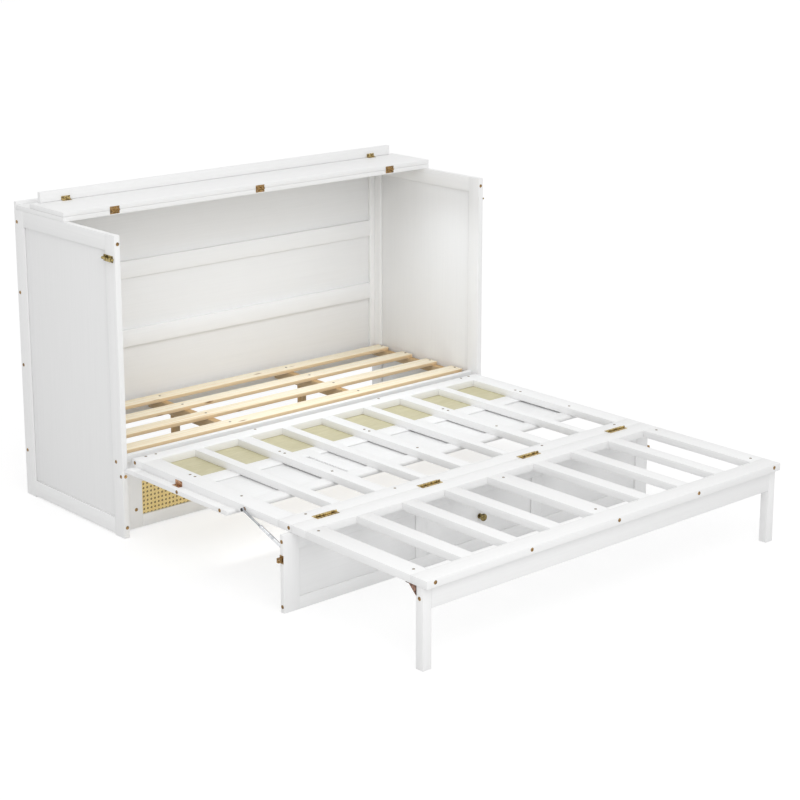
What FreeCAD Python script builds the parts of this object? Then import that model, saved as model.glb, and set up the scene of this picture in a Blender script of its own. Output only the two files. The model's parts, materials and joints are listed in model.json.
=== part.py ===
import FreeCAD, Part
import Sketcher
import math
import os
import re

# Cabinet wall bed, shown opened out: a low cabinet, a middle section that swings down on two
# pivot arms, a foot section that folds over it, a front panel that stands as the middle leg,
# and a folding leg frame at the foot.
# Lengths are millimetres. In every call below, x runs from the left outer face, f forward from
# the rear face and z up from the floor.

SIZES = {
    # Cabinet sides: two stiles and two rails round a thin panel
    "cab_w": 1650.0,
    "side_d": 624.4,
    "side_h": 1036.0,
    "side_t": 20.9,
    "rear_stile_w": 58.0,
    "front_stile_w": 56.0,
    "side_rail_w": 56.0,
    "floor_gap": 5.0,
    "side_panel_t": 7.0,
    "groove_d": 8.0,
    "groove_clear": 0.3,
    # Back: a thin panel on the rear of a frame
    "back_set": 2.0,
    "back_panel_t": 6.0,
    "back_frame_t": 12.0,
    "back_stile_w": 24.0,
    "back_upper_z": 727.0,
    "back_lower_z": 470.0,
    "back_rail_w": 63.0,
    "back_bottom_z": 197.0,
    "back_bottom_w": 60.0,
    # Top: a fixed rear board with a raised strip behind it
    "top_t": 16.5,
    "top_f": 320.0,
    "gallery_t": 16.0,
    "gallery_h": 27.0,
    # Flap folded back on the fixed board, and the hinged lip at its free edge
    "flap_t": 16.2,
    "flap_d": 215.0,
    "flap_gap": 0.4,
    "lip_t": 18.0,
    "lip_h": 36.6,
    "lip_gap": 0.3,
    "lip_set": 1.0,
    "lip_side": 32.0,
    # Recessed front of the base, with one long cane window
    "base_t": 18.0,
    "base_drop": 2.0,
    "base_stile_w": 88.0,
    "base_bottom_w": 43.0,
    "base_top_w": 83.0,
    "cane_t": 2.0,
    "backing_t": 1.5,
    "cane_set": 8.0,
    # Slatted deck inside the cabinet
    "deck_rail_t": 20.0,
    "slat_t": 14.0,
    "slat_w": 62.0,
    "slat_first": 46.0,
    "slat_last": 31.0,
    "slat_side": 3.1,
    "bearer_w": 28.0,
    "bearer_h": 38.0,
    "bearer_off": 297.0,
    "ledger_w": 27.0,
    "ledger_h": 28.0,
    "post_w": 25.0,
    "post_f": 173.0,
    # Bed frames
    "frame_z0": 252.0,
    "frame_t": 25.2,
    "frame_side": 35.6,
    "mid_gap": 6.6,
    "mid_rear_w": 59.0,
    "mid_front_w": 63.5,
    "mid_side_w": 69.0,
    "mid_wide_w": 50.0,
    "mid_narrow_w": 36.0,
    "mid_pitch": 186.0,
    "fold_gap": 1.0,
    "foot_l": 607.5,
    "foot_rear_w": 69.5,
    "foot_front_w": 70.0,
    "foot_side_w": 68.0,
    "foot_bar_w": 52.0,
    "foot_centre_w": 73.0,
    "foot_off_a": 200.0,
    "foot_off_b": 380.0,
    "foot_off_c": 564.0,
    # Pivot of the middle section, below its underside, and its clearances
    "pivot_drop": 29.1,
    "close_gap": 0.9,
    "close_rise": 12.0,
    "swing_clear": 1.3,
    # Pivot arms on the base, clevises on the decorated panel
    "pivot_off": 525.0,
    "arm_t": 4.0,
    "arm_w": 18.0,
    "arm_h": 26.0,
    "arm_foot_t": 3.0,
    "arm_foot_w": 36.0,
    "arm_foot_h": 60.0,
    "pivot_pin_r": 3.0,
    "pivot_head_r": 5.0,
    "pivot_head_t": 1.6,
    "pin_clear": 0.06,
    "ear_t": 3.0,
    "ear_gap": 0.4,
    "clevis_t": 2.5,
    "clevis_w": 28.0,
    "clevis_l": 38.0,
    # Decorated panel under the middle section, the cabinet's front when closed
    "decor_t": 16.0,
    "decor_side": 4.0,
    "decor_bottom_w": 60.7,
    "decor_window_l": 174.0,
    "decor_mid_w": 80.0,
    "decor_end_w": 55.0,
    "decor_end_gap": 10.0,
    "end_stile_w": 60.0,
    "mid_stile_w": 46.0,
    "mid_stile_off": 261.3,
    "field_t": 6.0,
    "angle_l": 36.0,
    "angle_f": 268.0,
    "angle_t": 1.5,
    "angle_h": 17.0,
    "angle_side": 0.8,
    # Leg panel that stands under the middle section's front rail
    "leg_t": 16.5,
    "leg_set": 13.0,
    "leg_gap": 0.5,
    "leg_bottom_w": 41.0,
    "leg_top_w": 55.5,
    "knob_z": 116.0,
    "knob_r": 12.5,
    "knob_h": 25.0,
    "knob_neck_r": 5.5,
    "knob_foot_r": 9.0,
    "knob_foot_h": 2.5,
    "knob_head_h": 11.0,
    "knob_round": 4.0,
    # Leg frame at the foot
    "stand_w": 33.0,
    "stand_d": 30.5,
    "stand_set": 18.0,
    "stand_side": 37.6,
    "apron_t": 18.0,
    "apron_h": 66.0,
    "apron_drop": 3.0,
    "bracket_t": 1.6,
    "bracket_l": 32.0,
    "bracket_h": 30.0,
    "bracket_lap": 3.0,
    "bracket_flange_w": 7.0,
    "bracket_flange_l": 44.0,
    # Small butt hinges
    "leaf_t": 1.2,
    "knuckle_r": 2.5,
    "hinge_pin_r": 1.3,
    "hinge_stand": 2.7,
    "hinge_clear": 0.06,
    "knuckle_gap": 0.3,
    "flap_hinge_l": 38.0,
    "flap_leaf_w": 13.0,
    "flap_hinge_off": 622.0,
    "lip_hinge_l": 35.0,
    "lip_leaf_w": 12.0,
    "lip_hinge_off": 693.0,
    "leg_hinge_l": 60.0,
    "leg_leaf_w": 20.0,
    "leg_hinge_off": 600.0,
    "stand_hinge_l": 21.0,
    "stand_leaf_w": 20.0,
    # Large butt hinges between the middle and foot sections
    "fold_leaf_t": 1.5,
    "fold_knuckle_r": 3.2,
    "fold_pin_r": 1.7,
    "fold_stand": 3.5,
    "fold_hinge_l": 86.0,
    "fold_leaf_w": 15.0,
    "fold_off_a": 224.0,
    "fold_off_b": 654.0,
    # Gas struts in the space beside the middle section
    "strut_back": 229.5,
    "strut_up": 14.0,
    "strut_reach": 14.5,
    "strut_drop": 53.3,
    "strut_clear": 1.35,
    "rod_r": 3.5,
    "rod_l": 112.0,
    "tube_start": 95.0,
    "tube_end_gap": 5.0,
    "tube_bore_l": 76.0,
    "eye_r": 5.8,
    "socket_w": 7.8,
    "stud_boss_r": 4.5,
    "stud_flange_r": 6.5,
    "stud_flange_t": 1.4,
    "foot_eye_w": 4.4,
    "tube_neck_r": 1.8,
    "foot_pin_r": 3.0,
    "foot_ear_w": 4.0,
    "strut_side_gap": 0.4,
    "foot_plate_t": 2.0,
    "foot_plate_h": 34.0,
    # Barrel bolts on the cabinet sides and their keepers on the leg panel
    "bolt_drop": 80.0,
    "bolt_out": 6.0,
    "bolt_r": 3.5,
    "barrel_r": 5.0,
    "barrel_l": 54.0,
    "barrel_set": 11.0,
    "bolt_nose": 3.4,
    "bolt_plate_t": 1.5,
    "bolt_plate_h": 22.0,
    "bolt_knob_r": 2.4,
    "bolt_knob_h": 13.0,
    "bolt_travel": 22.0,
    "bolt_slot_clear": 0.4,
    "bolt_tail": 3.0,
    "bolt_knob_set": 14.0,
    "keeper_w": 9.0,
    "keeper_h": 15.0,
    "keeper_clear": 1.1,
    "keeper_plate_t": 1.5,
    "keeper_plate_h": 26.0,
}

SLAT_COUNT = 4

# Places and sizes that follow from the sizes above
LAYOUT = {
    "frame_z1": "frame_z0 + frame_t",
    "pivot_f": "side_d + close_gap + pivot_drop",
    "pivot_z": "frame_z0 - pivot_drop",
    "mid_f0": "side_d + mid_gap",
    "mid_f1": "pivot_f - pivot_z + side_h + close_rise",
    "foot_f0": "mid_f1 + fold_gap",
    "bed_l": "foot_f0 + foot_l",
    "swing_r": "sqrt((pivot_f - mid_f0) ^ 2 + (pivot_drop + frame_t) ^ 2)",
    "deck_f1": "pivot_f - swing_r - swing_clear",
    "base_f1": "deck_f1 - deck_rail_t",
    "base_f0": "base_f1 - base_t",
    "base_z1": "frame_z0 - base_drop",
    "back_f1": "back_set + back_panel_t",
    "back_f2": "back_f1 + back_frame_t",
    "slat_z0": "frame_z1 - slat_t",
    "slat_pitch": f"(base_f1 - slat_last - slat_w - slat_first) / {SLAT_COUNT - 1}",
    "top_z1": "side_h + top_t",
    "flap_z0": "top_z1 + flap_gap",
    "flap_z1": "flap_z0 + flap_t",
    "flap_f0": "top_f - flap_d",
    "lip_f0": "flap_f0 + lip_set",
    "lip_f1": "lip_f0 + lip_t",
    "flap_pin_f": "top_f + hinge_stand",
    "flap_pin_z": "top_z1 + flap_gap / 2",
    "lip_pin_f": "lip_f1 + hinge_stand",
    "lip_pin_z": "flap_z1 + hinge_stand",
    "fold_pin_f": "mid_f1 + fold_gap / 2",
    "fold_pin_z": "frame_z1 + fold_stand",
    "leg_f0": "mid_f1 - leg_set",
    "leg_f1": "leg_f0 + leg_t",
    "leg_z1": "frame_z0 - leg_gap",
    "leg_pin_f": "leg_f0 - hinge_stand",
    "leg_pin_z": "frame_z0 - hinge_stand",
    "stand_f1": "bed_l - stand_set",
    "stand_f0": "stand_f1 - stand_d",
    "stand_pin_f": "stand_f0 - hinge_stand",
    "small_notch": "sqrt(knuckle_r ^ 2 - (hinge_stand - leaf_t) ^ 2) + knuckle_gap",
    "fold_notch": "sqrt(fold_knuckle_r ^ 2 - (fold_stand - fold_leaf_t) ^ 2) + knuckle_gap",
    "decor_z0": "frame_z0 - decor_t",
    "decor_f0": "side_d + close_gap",
    "decor_fa": "decor_f0 + decor_bottom_w",
    "decor_fb": "decor_fa + decor_window_l",
    "decor_fc": "decor_fb + decor_mid_w",
    "decor_f1": "leg_pin_f - leg_pin_z - decor_end_gap",
    "decor_fd": "decor_f1 - decor_end_w",
    "arm_z1": "pivot_z - pivot_drop",
    "arm_z0": "arm_z1 - arm_h",
    "arm_f1": "pivot_f + arm_w / 2",
    "clevis_z0": "decor_z0 - clevis_t",
    "ear_x": "arm_t / 2 + ear_gap",
    "strut_x": "(side_t + frame_side) / 2",
    "strut_r": "(frame_side - side_t) / 2 - strut_clear",
    "strut_af": "mid_f1 - strut_back",
    "strut_az": "frame_z0 + strut_up",
    "strut_bf": "leg_f0 - strut_reach",
    "strut_bz": "leg_pin_z - strut_drop",
    "strut_l": "sqrt((strut_bf - strut_af) ^ 2 + (strut_az - strut_bz) ^ 2)",
    "strut_cos": "(strut_bf - strut_af) / strut_l",
    "strut_sin": "(strut_az - strut_bz) / strut_l",
    "bolt_z": "side_h - bolt_drop",
    "bolt_f1": "side_d - barrel_set",
    "bolt_f0": "bolt_f1 - barrel_l",
    "bolt_knob_f": "bolt_f0 + bolt_knob_set",
    "keeper_z": "bolt_z - (leg_pin_f - leg_pin_z - pivot_f + pivot_z)",
    "keeper_f": "(leg_f0 + leg_f1) / 2",
}

doc = FreeCAD.newDocument("wall_bed")
sizes = doc.addObject("Spreadsheet::Sheet", "sizes")
for row, (word, number) in enumerate(SIZES.items(), start=1):
    sizes.set(f"A{row}", word)
    sizes.set(f"B{row}", str(number))
    sizes.setAlias(f"B{row}", word)
doc.recompute()


def bind(text):
    """Point the plain size names in an expression at the sheet or at the layout."""

    def owner(match):
        word = match.group(0)
        if word in SIZES:
            return "sizes." + word
        if word in LAYOUT:
            return "layout." + word
        return word

    return re.sub(r"[a-z_][a-z_0-9]*", owner, text)


layout = doc.addObject("App::VarSet", "layout")
for word in LAYOUT:
    layout.addProperty("App::PropertyFloat", word, "layout")
for word, rule in LAYOUT.items():
    layout.setExpression(word, bind(rule))
doc.recompute()

nodes = []


def node(label, pieces):
    """Name one piece, or several alike pieces together, as a sub-part."""
    if len(pieces) == 1:
        whole = pieces[0]
    else:
        whole = doc.addObject("Part::Compound", label + "_set")
        whole.Links = pieces
    whole.Label = label
    nodes.append((whole, len(pieces)))


def place(piece, x, f, z):
    """Put a piece's own origin at x, f and z."""
    piece.setExpression("Placement.Base.x", bind(f"{x} - cab_w / 2"))
    piece.setExpression("Placement.Base.y", bind(f"bed_l / 2 - ({f})"))
    piece.setExpression("Placement.Base.z", bind(z))


def board(name, x, f, z):
    """A straight board between two places in each direction."""
    box = doc.addObject("Part::Box", name)
    box.setExpression("Length", bind(f"({x[1]}) - ({x[0]})"))
    box.setExpression("Width", bind(f"({f[1]}) - ({f[0]})"))
    box.setExpression("Height", bind(f"({z[1]}) - ({z[0]})"))
    place(box, x[0], f[1], z[0])
    return box


def flip(x):
    """The same span on the other side of the bed."""
    return f"cab_w - ({x[1]})", f"cab_w - ({x[0]})"


def about(centre, width):
    """A span of some width about a centre."""
    return f"{centre} - ({width}) / 2", f"{centre} + ({width}) / 2"


def turned(name, radius, length, axis, angle):
    """A round bar of some radius, turned from upright about an axis."""
    bar = doc.addObject("Part::Cylinder", name)
    bar.Placement = FreeCAD.Placement(FreeCAD.Vector(), FreeCAD.Rotation(axis, angle))
    bar.setExpression("Radius", bind(radius))
    bar.setExpression("Height", bind(length))
    return bar


def bar_x(name, x, f, z, radius):
    """A round bar across the bed."""
    bar = turned(name, radius, f"({x[1]}) - ({x[0]})", FreeCAD.Vector(0, 1, 0), 90)
    place(bar, x[0], f, z)
    return bar


def bar_f(name, x, f, z, radius):
    """A round bar along the bed."""
    bar = turned(name, radius, f"({f[1]}) - ({f[0]})", FreeCAD.Vector(1, 0, 0), 90)
    place(bar, x, f[0], z)
    return bar


def bar_z(name, x, f, z, radius):
    """An upright round bar."""
    bar = turned(name, radius, f"({z[1]}) - ({z[0]})", FreeCAD.Vector(0, 0, 1), 0)
    place(bar, x, f, z[0])
    return bar


def fuse(name, pieces):
    whole = doc.addObject("Part::MultiFuse", name)
    whole.Shapes = pieces
    whole.Refine = True
    return whole


def cut(name, base, tool):
    rest = doc.addObject("Part::Cut", name)
    rest.Base = base
    rest.Tool = tool
    rest.Refine = True
    return rest


def grown(name, x, f, z):
    """The space for a panel: its box with the groove clearance all round."""
    spans = []
    for low, high in (x, f, z):
        spans.append((f"{low} - groove_clear", f"{high} + groove_clear"))
    return board(name, *spans)


def origin_plane(body, role):
    for feature in body.Origin.OriginFeatures:
        if feature.Role == role:
            return feature


def profile_body(name, corners, x, f, z):
    """A body padded across the bed from a straight-sided outline of (forward, up) corners.

    The outline is drawn from the reference f and z, and the pad fills the span x.
    """
    body = doc.addObject("PartDesign::Body", name)
    sketch = body.newObject("Sketcher::SketchObject", name + "_outline")
    sketch.AttachmentSupport = [(origin_plane(body, "YZ_Plane"), "")]
    sketch.MapMode = "FlatFace"
    draw_outline(sketch, corners)
    pad = body.newObject("PartDesign::Pad", name + "_pad")
    pad.Profile = sketch
    pad.setExpression("Length", bind(f"({x[1]}) - ({x[0]})"))
    body.Placement = FreeCAD.Placement(FreeCAD.Vector(), FreeCAD.Rotation(FreeCAD.Vector(0, 0, 1), 180))
    place(body, x[1], f, z)
    return body


def draw_outline(sketch, corners):
    """A closed outline whose corners are pairs of expressions, each bound as a dimension."""
    points = []
    for along, up in corners:
        flat = (layout.evalExpression(bind(along)), layout.evalExpression(bind(up)))
        points.append(FreeCAD.Vector(flat[0], flat[1], 0))
    count = len(points)
    for index in range(count):
        sketch.addGeometry(Part.LineSegment(points[index], points[(index + 1) % count]))
    for index in range(count):
        sketch.addConstraint(Sketcher.Constraint("Coincident", index, 2, (index + 1) % count, 1))
    for index, (along, up) in enumerate(corners):
        point = points[index]
        for kind, start, text in (("DistanceX", point.x, along), ("DistanceY", point.y, up)):
            number = sketch.addConstraint(Sketcher.Constraint(kind, -1, 1, index, 1, start))
            sketch.setExpression(f"Constraints[{number}]", bind(text))


def hinge_leaf(name, x, pin, plate, way, size, knuckles):
    """One leaf of a butt hinge.

    x is the hinge's span, pin the (f, z) of its axis. plate is ("flat", z span) or
    ("upright", f span), and way is the sign of the plate's run from the pin. size names the
    hinge's knuckle radius, pin radius, notch and leaf width. knuckles is outer or inner.
    """
    radius, pin_radius, notch, width = size
    third = f"(({x[1]}) - ({x[0]})) / 3"
    low = f"{x[0]} + {third}"
    high = f"{x[0]} + 2 * {third}"
    if knuckles == "outer":
        spans = [(x[0], f"{low} - knuckle_gap / 2"), (f"{high} + knuckle_gap / 2", x[1])]
    else:
        spans = [(f"{low} + knuckle_gap / 2", f"{high} - knuckle_gap / 2")]
    lies, thick = plate
    axis = pin[0] if lies == "flat" else pin[1]

    def run(start, end):
        ends = (f"{axis} + {start}", f"{axis} + {end}")
        if way < 0:
            ends = (f"{axis} - ({end})", f"{axis} - ({start})")
        return ends

    def slab(slab_name, span, start, end):
        if lies == "flat":
            return board(slab_name, span, run(start, end), thick)
        return board(slab_name, span, thick, run(start, end))

    pieces = [slab(name + "_plate", x, notch, width)]
    for index, span in enumerate(spans):
        pieces.append(slab(f"{name}_tab_{index}", span, "0", notch))
        pieces.append(bar_x(f"{name}_knuckle_{index}", span, pin[0], pin[1], radius))
    bore = bar_x(name + "_bore", x, pin[0], pin[1], f"{pin_radius} + hinge_clear")
    return cut(name, fuse(name + "_rolled", pieces), bore)


def hinge_set(names, centres, length, pin, plates, ways, size):
    """Leaves and pins of a row of alike hinges: fixed leaves, moving leaves and pins."""
    fixed, moving, pins = [], [], []
    for index, centre in enumerate(centres):
        x = about(centre, length)
        fixed.append(hinge_leaf(f"{names[0]}_{index}", x, pin, plates[0], ways[0], size, "outer"))
        moving.append(hinge_leaf(f"{names[1]}_{index}", x, pin, plates[1], ways[1], size, "inner"))
        pins.append(bar_x(f"{names[2]}_{index}", x, pin[0], pin[1], size[1]))
    node(names[0], fixed)
    node(names[1], moving)
    node(names[2], pins)


def pair(offset):
    """Two places as far to either side of the bed's middle."""
    return [f"cab_w / 2 - {offset}", f"cab_w / 2 + {offset}"]


SMALL_HINGE = ("knuckle_r", "hinge_pin_r", "small_notch")
INSIDE = ("side_t", "cab_w - side_t")
ACROSS = ("frame_side", "cab_w - frame_side")
PANEL_X = ("decor_side", "cab_w - decor_side")
FRAME_Z = ("frame_z0", "frame_z1")


def side(name, turn):
    """One cabinet side: stiles and rails with a groove for the thin panel between them."""
    x = turn(("0", "side_t"))
    middle = turn(about("side_t / 2", "side_panel_t"))
    lap = "(groove_d - groove_clear)"
    opening_f = ("rear_stile_w", "side_d - front_stile_w")
    opening_z = ("floor_gap + side_rail_w", "side_h - side_rail_w")
    panel_f = (f"{opening_f[0]} - {lap}", f"{opening_f[1]} + {lap}")
    panel_z = (f"{opening_z[0]} - {lap}", f"{opening_z[1]} + {lap}")
    space = grown(name + "_groove", middle, panel_f, panel_z)
    members = {
        "rear_stile": (("0", opening_f[0]), ("0", "side_h")),
        "front_stile": ((opening_f[1], "side_d"), ("0", "side_h")),
        "bottom_rail": (opening_f, ("floor_gap", opening_z[0])),
        "top_rail": (opening_f, (opening_z[1], "side_h")),
    }
    pieces = []
    for member, (f, z) in members.items():
        blank = board(f"{name}_{member}_blank", x, f, z)
        pieces.append(cut(f"{name}_{member}", blank, space))
    node(name + "_frame", pieces)
    node(name + "_panel", [board(name + "_panel_board", middle, panel_f, panel_z)])


def back():
    """The back: stiles and four rails, with the thin panel behind them."""
    f = ("back_f1", "back_f2")
    left = ("side_t", "side_t + back_stile_w")
    between = (left[1], f"cab_w - ({left[1]})")
    pieces = []
    for index, x in enumerate((left, flip(left))):
        pieces.append(board(f"back_stile_{index}", x, f, ("back_bottom_z", "side_h")))
    rails = (
        ("back_bottom_z", "back_bottom_z + back_bottom_w"),
        ("back_lower_z", "back_lower_z + back_rail_w"),
        ("back_upper_z", "back_upper_z + back_rail_w"),
        ("side_h - side_rail_w", "side_h"),
    )
    for index, z in enumerate(rails):
        pieces.append(board(f"back_rail_{index}", between, f, z))
    node("back_frame", pieces)
    panel = board("back_panel_board", INSIDE, ("back_set", "back_f1"), ("back_bottom_z", "side_h"))
    node("back_panel", [panel])


def top():
    """Fixed top board, raised rear strip, folding flap and its lip, with their hinges."""
    whole = ("0", "cab_w")
    node("top_board", [board("top_slab", whole, ("gallery_t", "top_f"), ("side_h", "top_z1"))])
    gallery_z = ("side_h", "side_h + gallery_h")
    node("back_gallery", [board("gallery_strip", whole, ("0", "gallery_t"), gallery_z)])
    node("top_flap", [board("flap_slab", whole, ("flap_f0", "top_f"), ("flap_z0", "flap_z1"))])
    lip_z = ("flap_z1 + lip_gap", "flap_z1 + lip_gap + lip_h")
    lip_x = ("lip_side", "cab_w - lip_side")
    node("lip_strip", [board("lip_board", lip_x, ("lip_f0", "lip_f1"), lip_z)])
    front = ("upright", ("top_f", "top_f + leaf_t"))
    hinge_set(
        ("top_hinge_leaves", "flap_hinge_leaves", "top_hinge_pins"),
        ["cab_w / 2"] + pair("flap_hinge_off"),
        "flap_hinge_l",
        ("flap_pin_f", "flap_pin_z"),
        (front, front),
        (-1, 1),
        SMALL_HINGE + ("flap_leaf_w",),
    )
    hinge_set(
        ("lip_hinge_flap_leaves", "lip_hinge_leaves", "lip_hinge_pins"),
        pair("lip_hinge_off"),
        "lip_hinge_l",
        ("lip_pin_f", "lip_pin_z"),
        (("flat", ("flap_z1", "flap_z1 + leaf_t")), ("upright", ("lip_f1", "lip_f1 + leaf_t"))),
        (1, 1),
        SMALL_HINGE + ("lip_leaf_w",),
    )


def base():
    """Recessed base front: two stiles, two rails, the cane and the thin board behind it."""
    f = ("base_f0", "base_f1")
    window_x = ("side_t + base_stile_w", "cab_w - side_t - base_stile_w")
    window_z = ("floor_gap + base_bottom_w", "base_z1 - base_top_w")
    lap = "(groove_d - groove_clear)"
    cane_x = (f"{window_x[0]} - {lap}", f"{window_x[1]} + {lap}")
    cane_z = (f"{window_z[0]} - {lap}", f"{window_z[1]} + {lap}")
    cane_f = ("base_f1 - cane_set - cane_t", "base_f1 - cane_set")
    sheet_f = (f"{cane_f[0]} - backing_t", cane_f[0])
    space = grown("base_groove", cane_x, (sheet_f[0], cane_f[1]), cane_z)
    stile_x = ("side_t", window_x[0])
    members = {
        "left_stile": (stile_x, ("floor_gap", "base_z1")),
        "right_stile": (flip(stile_x), ("floor_gap", "base_z1")),
        "bottom_rail": (window_x, ("floor_gap", window_z[0])),
        "top_rail": (window_x, (window_z[1], "base_z1")),
    }
    pieces = []
    for member, (x, z) in members.items():
        blank = board(f"base_{member}_blank", x, f, z)
        pieces.append(cut(f"base_{member}", blank, space))
    node("base_frame", pieces)
    node("base_cane", [board("base_cane_sheet", cane_x, cane_f, cane_z)])
    node("base_backing", [board("base_backing_sheet", cane_x, sheet_f, cane_z)])


def deck():
    """Slatted deck: front rail, ledgers on the sides, bearers on posts, and slats across."""
    node("deck_front_rail", [board("deck_rail", INSIDE, ("base_f1", "deck_f1"), FRAME_Z)])
    run = ("back_f2", "base_f0")
    ledger_x = ("side_t", "side_t + ledger_w")
    ledger_z = ("slat_z0 - ledger_h", "slat_z0")
    ledgers = []
    for index, x in enumerate((ledger_x, flip(ledger_x))):
        ledgers.append(board(f"ledger_{index}", x, run, ledger_z))
    node("deck_ledgers", ledgers)
    bearers, posts = [], []
    for index, centre in enumerate(pair("bearer_off")):
        bearer_z = ("slat_z0 - bearer_h", "slat_z0")
        bearers.append(board(f"bearer_{index}", about(centre, "bearer_w"), run, bearer_z))
        post_f = about("post_f", "post_w")
        posts.append(board(f"post_{index}", about(centre, "post_w"), post_f, ("0", bearer_z[0])))
    node("deck_bearers", bearers)
    node("deck_posts", posts)
    slats = []
    for index in range(SLAT_COUNT):
        start = f"slat_first + {index} * slat_pitch"
        slat_x = ("side_t + slat_side", "cab_w - side_t - slat_side")
        slats.append(board(f"slat_{index}", slat_x, (start, f"{start} + slat_w"), ("slat_z0", "frame_z1")))
    node("deck_slats", slats)


def pivots():
    """Cranked arms on the base front, clevises on the decorated panel, and headed pins."""
    arms, clevises, pins = [], [], []
    for index, centre in enumerate(pair("pivot_off")):
        x = about(centre, "arm_t")
        eye = bar_x(f"arm_eye_{index}", x, "pivot_f", "pivot_z", "arm_w / 2")
        bore = bar_x(f"arm_bore_{index}", x, "pivot_f", "pivot_z", "pivot_pin_r + pin_clear")
        upright = board(f"arm_upright_{index}", x, about("pivot_f", "arm_w"), ("arm_z0", "pivot_z"))
        reach = board(f"arm_reach_{index}", x, ("base_f1", "arm_f1"), ("arm_z0", "arm_z1"))
        foot_f = ("base_f1", "base_f1 + arm_foot_t")
        foot_z = ("arm_z0", "arm_z0 + arm_foot_h")
        foot = board(f"arm_foot_{index}", about(centre, "arm_foot_w"), foot_f, foot_z)
        arms.append(cut(f"arm_{index}", fuse(f"arm_solid_{index}", [eye, upright, reach, foot]), bore))
        parts = []
        for ear, sign in enumerate(("-", "+")):
            inner = f"{centre} {sign} ear_x"
            outer = f"{centre} {sign} (ear_x + ear_t)"
            span = (outer, inner) if sign == "-" else (inner, outer)
            parts.append(bar_x(f"ear_eye_{index}_{ear}", span, "pivot_f", "pivot_z", "arm_w / 2"))
            ear_z = ("pivot_z", "decor_z0")
            parts.append(board(f"ear_{index}_{ear}", span, about("pivot_f", "arm_w"), ear_z))
        flange_f = ("pivot_f - arm_w / 2", "pivot_f - arm_w / 2 + clevis_l")
        flange_z = ("clevis_z0", "decor_z0")
        parts.append(board(f"clevis_flange_{index}", about(centre, "clevis_w"), flange_f, flange_z))
        wide = about(centre, "clevis_w")
        hole = bar_x(f"clevis_bore_{index}", wide, "pivot_f", "pivot_z", "pivot_pin_r + pin_clear")
        clevises.append(cut(f"clevis_{index}", fuse(f"clevis_solid_{index}", parts), hole))
        grip = "2 * (ear_x + ear_t)"
        shank = bar_x(f"pin_shank_{index}", about(centre, grip), "pivot_f", "pivot_z", "pivot_pin_r")
        heads = [shank]
        for end, sign in enumerate(("-", "+")):
            inner = f"{centre} {sign} (ear_x + ear_t)"
            outer = f"{centre} {sign} (ear_x + ear_t + pivot_head_t)"
            span = (outer, inner) if sign == "-" else (inner, outer)
            heads.append(bar_x(f"pin_head_{index}_{end}", span, "pivot_f", "pivot_z", "pivot_head_r"))
        pins.append(fuse(f"pivot_pin_{index}", heads))
    node("pivot_arms", arms)
    node("pivot_clevises", clevises)
    node("pivot_pins", pins)


def middle_frame():
    """Middle bed frame: two rails with nine bars between them."""
    pieces = [
        board("mid_rear_rail", ACROSS, ("mid_f0", "mid_f0 + mid_rear_w"), FRAME_Z),
        board("mid_front_rail", ACROSS, ("mid_f1 - mid_front_w", "mid_f1"), FRAME_Z),
    ]
    run = ("mid_f0 + mid_rear_w", "mid_f1 - mid_front_w")
    edge = ("frame_side", "frame_side + mid_side_w")
    spans = [edge, flip(edge), about("cab_w / 2", "mid_wide_w")]
    for step, width in ((1, "mid_narrow_w"), (2, "mid_wide_w"), (3, "mid_narrow_w")):
        for centre in pair(f"{step} * mid_pitch"):
            spans.append(about(centre, width))
    for index, x in enumerate(spans):
        pieces.append(board(f"mid_bar_{index}", x, run, FRAME_Z))
    node("mid_frame", pieces)


def foot_frame():
    """Foot bed frame: two rails with nine bars between them."""
    pieces = [
        board("foot_rear_rail", ACROSS, ("foot_f0", "foot_f0 + foot_rear_w"), FRAME_Z),
        board("foot_end_rail", ACROSS, ("bed_l - foot_front_w", "bed_l"), FRAME_Z),
    ]
    run = ("foot_f0 + foot_rear_w", "bed_l - foot_front_w")
    edge = ("frame_side", "frame_side + foot_side_w")
    spans = [edge, flip(edge), about("cab_w / 2", "foot_centre_w")]
    for offset in ("foot_off_a", "foot_off_b", "foot_off_c"):
        for centre in pair(offset):
            spans.append(about(centre, "foot_bar_w"))
    for index, x in enumerate(spans):
        pieces.append(board(f"foot_bar_{index}", x, run, FRAME_Z))
    node("foot_frame", pieces)


def columns():
    """The three openings between the stiles of the decorated panel and of the leg panel."""
    left = ("decor_side + end_stile_w", "cab_w / 2 - mid_stile_off - mid_stile_w / 2")
    centre = ("cab_w / 2 - mid_stile_off + mid_stile_w / 2", "cab_w / 2 + mid_stile_off - mid_stile_w / 2")
    return left, centre, flip(left)


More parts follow.
